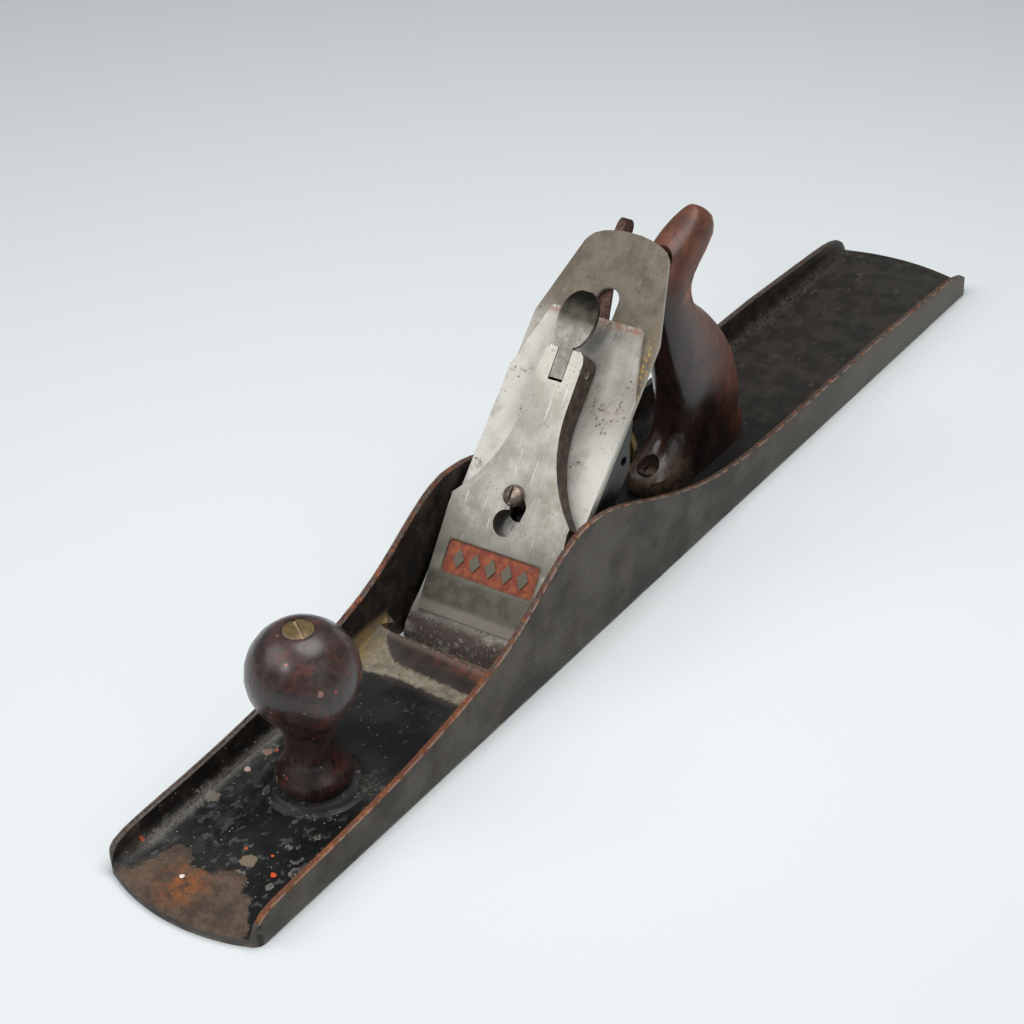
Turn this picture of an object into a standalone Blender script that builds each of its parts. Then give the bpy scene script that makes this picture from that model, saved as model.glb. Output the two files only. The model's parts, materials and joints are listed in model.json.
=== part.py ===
"""A 22 inch jointer plane: cast bed, adjustable frog, irons, lever cap, knob and handle, piece by piece.

Toe towards -X, heel towards +X, sole on Z = 0. Pieces are shaped and cut in millimetres, where a
Boolean keeps small steps best, and finish() brings each one to metres. The irons lie in a bed frame:
its origin is the middle of the cutting edge, X runs up the blade, Y across it and Z out of its upper
face.
"""
import math

import bmesh
import bpy
from mathutils import Matrix, Vector

MM = 0.001              # metres in a millimetre
GAP = 0.3               # air between two pieces that touch
WELD = 0.002            # corners closer than this become one

# Bed casting
LENGTH = 558.8          # 22 inches
WIDTH = 73.0
HALF_LENGTH = LENGTH / 2
HALF_WIDTH = WIDTH / 2
TOE_BULGE = 8.2         # how far the middle of the toe stands past its corners
HEEL_BULGE = 7.5
CORNER_RADIUS = 6.0
FLOOR = 4.2             # thickness of the sole
LIP = 3.4               # thickness of the sole at its ends
WALL = 3.3
WALL_EDGE = 1.1         # rounding of the wall's top
WALL_FILLET = 6.0       # rounding between wall and floor
INNER_HALF_WIDTH = HALF_WIDTH - WALL

# Blade and its seat
EDGE_X = -104.8         # cutting edge along the bed
EDGE_Z = 0.3            # the edge stands just inside the sole
MOUTH_AHEAD = 5.2       # gap in the sole ahead of the edge
PITCH = math.radians(45)
BLADE_WIDTH = 60.3      # 2 3/8 inches
IRON_THICK = 2.0
BEVEL_ANGLE = math.radians(25)
IRON_LENGTH = 189.4
TAPER_START = 147.5
CAP_IRON_LENGTH = 151.5
CAP_IRON_THICK = 1.9
BED_PLANE = -(IRON_THICK + GAP)

# Places up the blade, from the cutting edge
CAP_SCREW_AT = 70.0
YOKE_SLOT_AT = 90.0
IRON_SCREW_AT = 107.0
ROLLER_AT = 121.0
ROLLER_ACROSS = 0.9
LATERAL_PIVOT_AT = 132.0
FROG_TOP_AT = 138.0
CAM_PIN_AT = 126.0
CAM_PIN_HEIGHT = 9.0

# Frog
FROG_HALF_WIDTH = 26.4
SLAB_HALF_WIDTH = 27.5
SLAB_THICK = 6.0
FROG_BASE = 9.3
FROG_PLATE_TOP = 13.2
FROG_FOOT = 4.9
FROG_REAR = -34.0
PAD_TOP = 9.0
FROG_SCREW_X = -70.0
FROG_SCREW_Y = 15.0
FROG_TRAVEL = 1.5
ADJUSTER_Z = 10.5

# Depth adjustment
YOKE_PIVOT = (-24.0, 62.0)      # X, Z
STUD_Z = 48.0
NUT_RADIUS = 14.0
GROOVE_X = -12.0

# Knob and handle
KNOB_X = -196.3
KNOB_BALL = 21.8
KNOB_BALL_Z = 57.2
HANDLE_BASE = 4.6
HANDLE_BOLT_TOP = (43.2, 114.5)     # X, Z of the bolt's axis at the top and at the floor
HANDLE_BOLT_FOOT = (70.5, 2.2)
TOE_SCREW_X = 34.5

SIDE_VIEW = Matrix.Rotation(math.pi / 2, 4, "X")    # outline X, Y become world X, Z
BED = Matrix.Translation((EDGE_X, 0, EDGE_Z)) @ Matrix.Rotation(-PITCH, 4, "Y")


def askew(degrees, at):
    """The bed frame turned about the blade's normal, at this place up the blade."""
    pivot = Matrix.Translation((at, 0, 0))
    return BED @ pivot @ Matrix.Rotation(math.radians(degrees), 4, "Z") @ pivot.inverted()


IRONS = askew(1.2, 45)              # the irons and the lever cap each stand a little askew
CAP = askew(2.4, CAP_SCREW_AT)


# ---------------------------------------------------------------- helpers

def start_scene():
    """Empty the scene and open the collections for the plane and for cutters."""
    for obj in list(bpy.data.objects):
        bpy.data.objects.remove(obj, do_unlink=True)
    made = []
    for name in ("jointer_plane", "cutters"):
        collection = bpy.data.collections.new(name)
        bpy.context.scene.collection.children.link(collection)
        made.append(collection)
    return made


PLANE, CUTTERS = start_scene()


def link(name, data):
    obj = bpy.data.objects.new(name, data)
    CUTTERS.objects.link(obj)
    obj.hide_render = True
    obj.display_type = "WIRE"
    return obj


def evaluated_mesh(obj):
    graph = bpy.context.evaluated_depsgraph_get()
    graph.update()
    return bpy.data.meshes.new_from_object(obj.evaluated_get(graph), depsgraph=graph)


def apply_modifiers(obj):
    mesh = evaluated_mesh(obj)
    obj.modifiers.clear()
    old = obj.data
    obj.data = mesh
    bpy.data.meshes.remove(old)


def mesh_object(name, bm):
    bmesh.ops.recalc_face_normals(bm, faces=bm.faces)
    if bm.calc_volume(signed=True) < 0:
        bmesh.ops.reverse_faces(bm, faces=bm.faces)
    mesh = bpy.data.meshes.new(name)
    bm.to_mesh(mesh)
    bm.free()
    return link(name, mesh)


def plate(name, outline, low, high, frame=Matrix()):
    """A flat outline in the frame's XY plane, solid from height low to height high."""
    curve = bpy.data.curves.new(name, "CURVE")
    curve.dimensions = "2D"
    curve.fill_mode = "BOTH"
    curve.extrude = (high - low) / 2
    spline = curve.splines.new("POLY")
    spline.points.add(len(outline) - 1)
    for point, (x, y) in zip(spline.points, outline):
        point.co = (x, y, 0, 1)
    spline.use_cyclic_u = True
    flat = link(name, curve)
    flat.matrix_world = frame @ Matrix.Translation((0, 0, (low + high) / 2))
    bm = bmesh.new()
    bm.from_mesh(evaluated_mesh(flat))
    bmesh.ops.remove_doubles(bm, verts=bm.verts, dist=WELD)
    bm.transform(flat.matrix_world)
    bpy.data.objects.remove(flat)
    return mesh_object(name, bm)


def side_plate(name, outline, low, high):
    """An outline in X and Z, solid across the plane from Y = low to Y = high."""
    return plate(name, outline, -high, -low, SIDE_VIEW)


def box(name, low, high, frame=Matrix()):
    bm = bmesh.new()
    bmesh.ops.create_cube(bm, size=1)
    size = [(b - a) for a, b in zip(low, high)]
    centre = [(a + b) / 2 for a, b in zip(low, high)]
    bm.transform(frame @ Matrix.Translation(centre) @ Matrix.Diagonal((*size, 1)))
    return mesh_object(name, bm)


def rod(name, radius, start, end, frame=Matrix(), segments=24):
    """A cylinder from start to end."""
    a = Vector(start)
    b = Vector(end)
    turn = (b - a).to_track_quat("Z", "Y").to_matrix().to_4x4()
    bm = bmesh.new()
    bmesh.ops.create_cone(bm, cap_ends=True, segments=segments, radius1=radius,
                          radius2=radius, depth=(b - a).length)
    bm.transform(frame @ Matrix.Translation((a + b) / 2) @ turn)
    return mesh_object(name, bm)


def turned(name, profile, frame=Matrix(), closed=False, steps=32):
    """A (radius, height) profile, from the top down its outer side, turned about Z."""
    bm = bmesh.new()
    verts = [bm.verts.new((r, 0, z)) for r, z in profile]
    pairs = list(zip(verts, verts[1:]))
    if closed:
        pairs.append((verts[-1], verts[0]))
    for pair in pairs:
        bm.edges.new(pair)
    mesh = bpy.data.meshes.new(name)
    bm.to_mesh(mesh)
    bm.free()
    obj = link(name, mesh)
    screw = obj.modifiers.new("turn", "SCREW")
    screw.axis = "Z"
    screw.steps = steps
    screw.render_steps = steps
    screw.use_merge_vertices = True
    screw.merge_threshold = 0.0001
    apply_modifiers(obj)
    obj.data.transform(frame)
    return obj


def loft(name, rings):
    """Closed rings of points joined one to the next, and capped at both ends."""
    bm = bmesh.new()
    made = [[bm.verts.new(Vector(p)) for p in ring] for ring in rings]
    for ring, following in zip(made, made[1:]):
        for i in range(len(ring)):
            j = (i + 1) % len(ring)
            bm.faces.new((ring[i], ring[j], following[j], following[i]))
    bm.faces.new(made[0])
    bm.faces.new(made[-1])
    return mesh_object(name, bm)


def combine(obj, other, operation):
    change = obj.modifiers.new(operation, "BOOLEAN")
    change.operation = operation
    change.object = other
    change.solver = "EXACT"
    apply_modifiers(obj)
    bpy.data.objects.remove(other)
    weld(obj, WELD)


def weld(obj, distance):
    """Merge the near-double corners that a Boolean leaves, and drop the slivers between them."""
    bm = bmesh.new()
    bm.from_mesh(obj.data)
    bmesh.ops.remove_doubles(bm, verts=bm.verts, dist=distance)
    bmesh.ops.dissolve_degenerate(bm, edges=bm.edges, dist=distance)
    bm.to_mesh(obj.data)
    bm.free()


def join(obj, *others):
    for other in others:
        combine(obj, other, "UNION")
    return obj


def cut(obj, *others):
    for other in others:
        combine(obj, other, "DIFFERENCE")
    return obj


def common(obj, other):
    combine(obj, other, "INTERSECT")
    return obj


def mirrored(outline):
    """An outline on the +Y side, from low X to high X, closed by its mirror image."""
    return outline + [(x, -y) for x, y in reversed(outline) if y > 0]


def arc(cx, cy, radius, start, end, count):
    """Points on an arc, with angles in degrees."""
    step = (end - start) / (count - 1)
    angles = [math.radians(start + step * i) for i in range(count)]
    return [(cx + radius * math.cos(a), cy + radius * math.sin(a)) for a in angles]


def capsule(ax, ay, bx, by, radius, count=9):
    """The outline of a slot or arm with round ends, between two centres."""
    turn = math.degrees(math.atan2(by - ay, bx - ax))
    first = arc(ax, ay, radius, turn + 90, turn + 270, count)
    return first + arc(bx, by, radius, turn - 90, turn + 90, count)


def smooth_curve(knots, x):
    """A monotone cubic through (x, value) knots, level with its ends outside them."""
    if x <= knots[0][0]:
        return knots[0][1]
    for k in range(len(knots) - 1):
        if x <= knots[k + 1][0]:
            break
    else:
        return knots[-1][1]
    (x0, y0), (x1, y1) = knots[k], knots[k + 1]
    slope = (y1 - y0) / (x1 - x0)

    def tangent(index):
        if index == 0 or index == len(knots) - 1:
            return slope
        (xa, ya), (xb, yb), (xc, yc) = knots[index - 1:index + 2]
        left = (yb - ya) / (xb - xa)
        right = (yc - yb) / (xc - xb)
        return 0.0 if left * right <= 0 else 2 * left * right / (left + right)

    t = (x - x0) / (x1 - x0)
    m0 = tangent(k) * (x1 - x0)
    m1 = tangent(k + 1) * (x1 - x0)
    return ((2 * t ** 3 - 3 * t ** 2 + 1) * y0 + (t ** 3 - 2 * t ** 2 + t) * m0
            + (3 * t ** 2 - 2 * t ** 3) * y1 + (t ** 3 - t ** 2) * m1)


def material(name, colour, roughness, metallic):
    made = bpy.data.materials.new(name)
    made.use_nodes = True
    shader = made.node_tree.nodes["Principled BSDF"]
    shader.inputs["Base Color"].default_value = (*colour, 1)
    shader.inputs["Roughness"].default_value = roughness
    shader.inputs["Metallic"].default_value = metallic
    made.diffuse_color = (*colour, 1)
    return made


def frame_empty(name, matrix):
    empty = bpy.data.objects.new(name, None)
    empty.empty_display_size = 20 * MM
    empty.matrix_world = Matrix.LocRotScale(matrix.translation * MM, matrix.to_quaternion(), None)
    PLANE.objects.link(empty)
    return empty


WORLD_EMPTY = frame_empty("plane_origin", Matrix())
BED_EMPTY = frame_empty("bed_frame", BED)
IRONS_EMPTY = frame_empty("irons_frame", IRONS)
CAP_EMPTY = frame_empty("cap_frame", CAP)


def finish(obj, colour, roughness, metallic, parent=WORLD_EMPTY, origin=(0, 0, 0), sharp=30):
    """Put a finished piece in the plane, with its origin at a place in its parent's frame."""
    place = Vector(origin)
    obj.data.transform(Matrix.Scale(MM, 4) @ Matrix.Translation(-place))
    obj.parent = parent
    obj.location = place * MM
    obj.data.materials.clear()
    obj.data.materials.append(material(obj.name, colour, roughness, metallic))
    obj.data.shade_smooth()
    obj.data.set_sharp_from_angle(angle=math.radians(sharp))
    CUTTERS.objects.unlink(obj)
    PLANE.objects.link(obj)
    obj.hide_render = False
    obj.display_type = "TEXTURED"
    return obj


# ---------------------------------------------------------------- bed casting

# Height of the walls over the sole, by distance along the bed from the toe
WALL_HEIGHTS = [(7.0, 4.3), (7.8, 7.4), (9, 9.8), (12, 12.0), (17, 13.4), (30, 14.3), (55, 15.1),
                (80, 16.8), (100, 19.0), (122, 22.4), (137, 25.2), (150, 28.7), (160, 32.0),
                (170, 36.6), (186, 46.0), (200, 53.6), (214, 57.6), (228, 56.4), (242, 51.8),
                (262, 42.9), (282, 34.6), (300, 28.4), (320, 23.8), (345, 20.9), (380, 20.0),
                (450, 19.4), (500, 17.0), (530, 15.4), (540, 13.9), (546, 12.0), (549.8, 9.4),
                (551.4, 7.0), (552.6, 4.3)]
RIB_FOOT = 148.0        # the slope of the cross rib, as distances from the toe
RIB_TOP = 168.0
RIB_END = 170.6
RIB_HEIGHT = 10.5
RIB_SWEEP = 9.0         # the slope starts this much earlier at the walls
THROAT_LEAN = 4.0       # the rib's top stands this far ahead of the mouth's front edge
LIP_RUN = 14.0          # the sole thins over this length at its ends


def stations():
    """Distances from the toe where the bed's section is taken."""
    toe = [-1, 4, 7, 7.8, 9, 12, 17, 25, 36]
    front = [50, 72, 92, 106, 118, 129]
    rib = [139, 145, 151, 157, 163, 168, 170.4, 170.8]
    middle = list(range(178, 316, 7)) + [325, 338]
    rear = [356, 380, 420, 460, 490, 508]
    heel = [522, 532, 540, 546, 549.8, 551.4, 552.6, 555, LENGTH + 1]
    return toe + front + rib + middle + rear + heel


def floor_height(along, across):
    """Height of the floor inside the bed, which rises to the cross rib before the mouth."""
    from_end = max(0, min(along, LENGTH - along))
    height = LIP + (FLOOR - LIP) * min(1, from_end / LIP_RUN)
    near_wall = max(0, (across - 18) / (INNER_HALF_WIDTH - 18))
    foot = RIB_FOOT - RIB_SWEEP * near_wall ** 2
    if foot < along < RIB_END:
        rise = min(1, (along - foot) / (RIB_TOP - foot))
        height += (RIB_HEIGHT - FLOOR) * rise
    return height


def bed_section(along):
    """The bed's cross-section at one distance from the toe: a closed ring of points."""
    top = smooth_curve(WALL_HEIGHTS, along)
    inner = INNER_HALF_WIDTH
    floor = floor_height(along, inner)
    edge = min(WALL_EDGE, (top - floor) * 0.4)
    fillet = max(0.2, min(WALL_FILLET, (top - floor - edge) * 0.9))
    side = [(HALF_WIDTH - 0.5, 0), (HALF_WIDTH, 0.5), (HALF_WIDTH, top - edge)]
    side += arc(HALF_WIDTH - edge, top - edge, edge, 45, 90, 2)
    side += arc(inner + edge, top - edge, edge, 90, 180, 3)
    side += [(inner - fillet * (1 - math.cos(math.radians(a))),
              floor + fillet * (1 - math.sin(math.radians(a)))) for a in (0, 30, 60, 90)]
    for share in (0.82, 0.6, 0.3):
        across = (inner - WALL_FILLET) * share
        side.append((across, floor_height(along, across)))
    ring = side + [(-y, z) for y, z in reversed(side)]
    return [(along - HALF_LENGTH, y, z) for y, z in ring]


def bed_plan():
    """The sole's outline from above: bulging ends and rounded corners."""
    shares = [i / 12 for i in range(13)]
    toe = [(-HALF_LENGTH + TOE_BULGE * share ** 2, HALF_WIDTH * share) for share in shares]
    heel = [(HALF_LENGTH - HEEL_BULGE * share ** 2, HALF_WIDTH * share) for share in reversed(shares)]
    inset = HALF_WIDTH - CORNER_RADIUS
    toe_x = -HALF_LENGTH + TOE_BULGE * (inset / HALF_WIDTH) ** 2
    heel_x = HALF_LENGTH - HEEL_BULGE * (inset / HALF_WIDTH) ** 2
    toe = [point for point in toe if point[1] < inset - 1]
    heel = [point for point in heel if point[1] < inset - 1]
    toe_corner = arc(toe_x + CORNER_RADIUS + 0.6, inset + 0.1, CORNER_RADIUS, 165, 90, 6)
    heel_corner = arc(heel_x - CORNER_RADIUS - 0.6, inset + 0.1, CORNER_RADIUS, 90, 15, 6)
    return mirrored(toe + toe_corner + heel_corner + heel)


def bed_casting():
    bed = loft("bed_casting", [bed_section(along) for along in stations()])
    common(bed, plate("plan", bed_plan(), -5, 80))
    knob_place = Matrix.Translation((KNOB_X, 0, 0))
    knob_ring = [(0, 7.0), (16.4, 7.0), (17.6, 6.5), (18.3, 5.6), (19.2, 4.9), (20.6, FLOOR + 0.05),
                 (20.6, 2.0), (0, 2.0)]
    handle_boss = capsule(40, 0, 92, 0, 9.0)
    pad = side_plate("pad", [(-83.5, 2), (-38.5, 2), (-38.5, PAD_TOP), (-82.0, PAD_TOP)], -21, 21)
    rib = side_plate("rib", [(-66, 3), (-39.5, 3), (-39.5, 15.2), (-64.0, 15.2), (-66, 13.5)], -6, 6)
    join(bed, turned("ring", knob_ring, knob_place, steps=40),
         plate("boss", handle_boss, 2.0, FLOOR + 0.1), pad, rib)
    mouth_front = EDGE_X - MOUTH_AHEAD
    mouth_rear = EDGE_X + 4.6
    lean = THROAT_LEAN / (RIB_HEIGHT - FLOOR)
    mouth = [(mouth_front, -1), (mouth_rear - 1, -1), (mouth_rear + FLOOR + 2, FLOOR + 2),
             (mouth_front - lean * 9, FLOOR + 9), (mouth_front, FLOOR)]
    throat = [(mouth_front, FLOOR + 0.4), (-84, FLOOR + 0.4), (-84, 14), (mouth_front, 14)]
    cut(bed, side_plate("mouth", mouth, -32.3, 32.3), side_plate("throat", throat, -28, 28))
    cut(bed, rod("knob_hole", 3.05, (KNOB_X, 0, 1.6), (KNOB_X, 0, 9)))
    for y in (-FROG_SCREW_Y, FROG_SCREW_Y):
        cut(bed, rod("screw_hole", 2.8, (FROG_SCREW_X, y, 1.6), (FROG_SCREW_X, y, 12)))
    cut(bed, rod("adjuster_hole", 2.6, (-62, 0, ADJUSTER_Z), (-30, 0, ADJUSTER_Z)))
    cut(bed, rod("toe_hole", 2.4, (TOE_SCREW_X, 0, 1.6), (TOE_SCREW_X, 0, 9)))
    cut(bed, rod("bolt_hole", 3.05, handle_bolt_point(2.0), handle_bolt_point(12)))
    return finish(bed, (0.035, 0.033, 0.032), 0.45, 0.5)


# ---------------------------------------------------------------- frog and its screws

def frog():
    slab_outline = mirrored([(6, SLAB_HALF_WIDTH), (100, SLAB_HALF_WIDTH), (128, 20.5),
                             (134, 17.5), (FROG_TOP_AT, 12.0)])
    slab = plate("frog", slab_outline, BED_PLANE - SLAB_THICK, BED_PLANE, BED)
    base = [(-97.0, FROG_FOOT), (-86, FROG_FOOT), (-86, FROG_BASE), (FROG_REAR, FROG_BASE),
            (FROG_REAR, FROG_PLATE_TOP), (-84.5, FROG_PLATE_TOP), (-89, 9.0)]
    web = [(-88.7, FROG_BASE + 0.5), (FROG_REAR, FROG_BASE), (FROG_REAR, 42), (-19.5, 56),
           (-19.5, 68), (-16.8, 77.5), (-18.2, 80)]
    wall = [(-39.5, FROG_BASE + 0.5), (FROG_REAR - 0.1, FROG_BASE + 0.5), (FROG_REAR - 0.1, 54.5),
            (-36.5, 56), (-39.5, 54.5)]
    join(slab, side_plate("base", base, -FROG_HALF_WIDTH, FROG_HALF_WIDTH))
    for low in (-FROG_HALF_WIDTH, FROG_HALF_WIDTH - 4.6):
        join(slab, side_plate("web", web, low + 0.05, low + 4.55))
    join(slab, side_plate("wall", wall, -FROG_HALF_WIDTH + 1, FROG_HALF_WIDTH - 1),
         rod("boss", 6.5, (CAP_SCREW_AT, 0, BED_PLANE - 15), (CAP_SCREW_AT, 0, BED_PLANE - 1), BED))
    under = [(-130, -5), (-85.9, -5), (-85.9, FROG_FOOT), (-130, FROG_FOOT)]
    cut(slab, side_plate("under", under, -40, 40))
    cut(slab, rod("cap_screw_hole", 3.3, (CAP_SCREW_AT, 0, -25), (CAP_SCREW_AT, 0, 5), BED))
    window = capsule(88.8, 0, 111.5, 0, 9.6)
    cut(slab, plate("window", window, BED_PLANE - 9, 5, BED))
    for side in (-1, 1):
        opening = [(30, side * 8), (50, side * 8), (52, side * 10), (52, side * 20),
                   (50, side * 22), (32, side * 22), (30, side * 20)]
        cut(slab, plate("opening", opening, BED_PLANE - 9, 5, BED))
        slot = capsule(FROG_SCREW_X - FROG_TRAVEL - 0.4, side * FROG_SCREW_Y,
                       FROG_SCREW_X + FROG_TRAVEL + 0.4, side * FROG_SCREW_Y, 2.9)
        cut(slab, plate("slot", slot, 5, 18))
    channel = [(114, -9), (150, -9), (150, 9), (114, 9), (112, 0)]
    cut(slab, plate("channel", channel, BED_PLANE - 2.1, 5, BED))
    cut(slab, rod("pivot_hole", 1.75, (LATERAL_PIVOT_AT, 0, -20), (LATERAL_PIVOT_AT, 0, 5), BED))
    rib_channel = [(-70, 5), (-30, 5), (-30, 17), (-70, 17)]
    cut(slab, side_plate("rib_channel", rib_channel, -7.6, 7.6))
    cut(slab, rod("stud_hole", 3.3, (-50, 0, STUD_Z), (-20, 0, STUD_Z)))
    px, pz = YOKE_PIVOT
    cut(slab, rod("yoke_hole", 2.05, (px, -40, pz), (px, 40, pz)))
    cut(slab, rod("clip_hole", 1.8, (-45, 0, 24), (-30, 0, 24)))
    return finish(slab, (0.03, 0.03, 0.032), 0.5, 0.4, origin=(-60, 0, FROG_BASE))


def slotted_head(obj, place, direction, width, depth, length):
    """Cut a screwdriver slot across a head whose top is at place."""
    turn = Vector(direction).to_track_quat("Z", "Y").to_matrix().to_4x4()
    frame = Matrix.Translation(Vector(place)) @ turn
    return cut(obj, box("slot", (-length, -width / 2, -depth), (length, width / 2, 3), frame))


def frog_screws():
    for side, word in ((-1, "right"), (1, "left")):
        x, y = FROG_SCREW_X, side * FROG_SCREW_Y
        place = Matrix.Translation((x, y, 0))
        profile = [(0, 19), (4.2, 19), (5, 18.2), (5, 15), (2.5, 15), (2.5, 2.2), (0, 2.2)]
        screw = turned("frog_screw_" + word, profile, place, steps=16)
        slotted_head(screw, (x, y, 19), (0, 0, 1), 1.3, 1.6, 8)
        finish(screw, (0.12, 0.10, 0.08), 0.5, 0.8, origin=(x, y, 15))
        ring = [(6.2, 14.7), (6.2, 13.5), (2.85, 13.5), (2.85, 14.7)]
        washer = turned("frog_washer_" + word, ring, place, closed=True, steps=16)
        finish(washer, (0.14, 0.12, 0.10), 0.5, 0.8, origin=(x, y, 13.5))


def frog_adjuster():
    """The screw behind the frog, the clip that rides in its groove, and the clip's screw."""
    to_x = Matrix.Translation((0, 0, ADJUSTER_Z)) @ Matrix.Rotation(math.pi / 2, 4, "Y")
    head = [(0, -27), (4.4, -27), (5, -27.6), (5, -31.6), (2.3, -31.6), (2.3, -34.3),
            (4.2, -34.3), (4.2, -36.4), (2.25, -36.4), (2.25, -58), (0, -58)]
    screw = turned("frog_adjusting_screw", head, to_x, steps=16)
    slotted_head(screw, (-27, 0, ADJUSTER_Z), (1, 0, 0), 1.2, 1.6, 8)
    finish(screw, (0.14, 0.12, 0.10), 0.5, 0.8, origin=(-31.6, 0, ADJUSTER_Z))
    across = Matrix.Rotation(math.pi / 2, 4, "Z") @ SIDE_VIEW
    outline = [(-5.5, 6.2), (-2.7, 6.2)] + arc(0, ADJUSTER_Z, 2.7, 180, 0, 9)
    outline += [(2.7, 6.2), (5.5, 6.2), (5.5, 25), (3.5, 28), (-3.5, 28), (-5.5, 25)]
    clip = plate("frog_adjusting_clip", outline, -33.7, -32.2, across)
    cut(clip, rod("hole", 1.9, (-50, 0, 24), (-20, 0, 24)))
    finish(clip, (0.14, 0.12, 0.10), 0.5, 0.8, origin=(-33, 0, 24))
    at_clip = Matrix.Translation((0, 0, 24)) @ Matrix.Rotation(math.pi / 2, 4, "Y")
    profile = [(0, -30.2), (2.2, -30.3), (3.1, -31.0), (3.3, -31.9), (1.5, -31.9), (1.5, -39.4),
               (0, -39.4)]
    small = turned("clip_screw", profile, at_clip, steps=12)
    slotted_head(small, (-30.2, 0, 24), (1, 0, 0), 0.8, 0.7, 5)
    finish(small, (0.15, 0.12, 0.10), 0.5, 0.8, origin=(-31.9, 0, 24))


# ---------------------------------------------------------------- depth adjustment

def depth_yoke():
    px, pz = YOKE_PIVOT
    yoke = rod("depth_yoke", 4.6, (px, -16, pz), (px, 16, pz))
    elbow = bed_point(YOKE_SLOT_AT, -7.5)
    tip = bed_point(YOKE_SLOT_AT, 1.6)
    join(yoke, side_plate("arm", capsule(px, pz, *elbow, 2.4), -4.1, 4.1),
         side_plate("finger", capsule(*elbow, *tip, 2.2), -4.15, 4.15))
    for side in (-1, 1):
        low, high = sorted((side * 6.1, side * 9.2))
        join(yoke, side_plate("fork", capsule(px, pz, GROOVE_X - 0.2, 58.4, 2.0), low, high),
             side_plate("paddle", capsule(GROOVE_X, 58.0, GROOVE_X, 47, 1.3), low + 0.02, high - 0.02))
    cut(yoke, rod("bore", 2.05, (px, -20, pz), (px, 20, pz)))
    finish(yoke, (0.05, 0.048, 0.045), 0.55, 0.5, origin=(px, 0, pz))
    pin = rod("yoke_pin", 1.7, (px, -23.6, pz), (px, 23.6, pz), segments=20)
    finish(pin, (0.2, 0.19, 0.18), 0.4, 0.9, origin=(px, 0, pz))


def depth_nut():
    to_x = Matrix.Translation((0, 0, STUD_Z)) @ Matrix.Rotation(math.pi / 2, 4, "Y")
    r = NUT_RADIUS
    profile = [(6.5, 2.8), (11.2, 4.6), (12.2, 5.4), (r - 0.6, 5.4), (r, 4.8), (r, 1.9),
               (r - 0.9, 1.2), (r - 0.9, -0.8), (r, -1.5), (r, -4.3), (r - 0.7, -5.0), (10.4, -5.6),
               (9.6, -6.6), (9.6, -8.4), (9.2, -8.8), (5.6, -8.8), (5.6, -15.8), (9.2, -15.8),
               (9.6, -16.2), (9.6, -17.6), (9.0, -18.2), (3.4, -18.2), (3.4, 2.0)]
    nut = turned("depth_nut", profile, to_x, closed=True, steps=28)
    finish(nut, (0.30, 0.21, 0.09), 0.42, 0.9, origin=(GROOVE_X, 0, STUD_Z))
    stud = rod("depth_stud", 3.0, (-39.2, 0, STUD_Z), (3.0, 0, STUD_Z), segments=20)
    finish(stud, (0.18, 0.17, 0.16), 0.45, 0.9, origin=(-37, 0, STUD_Z))


def bed_point(along, height):
    """World X and Z of a point on the middle of the bed frame."""
    point = BED @ (Vector((along, 0, height)))
    return point.x, point.z


# ---------------------------------------------------------------- lateral adjustment

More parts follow.
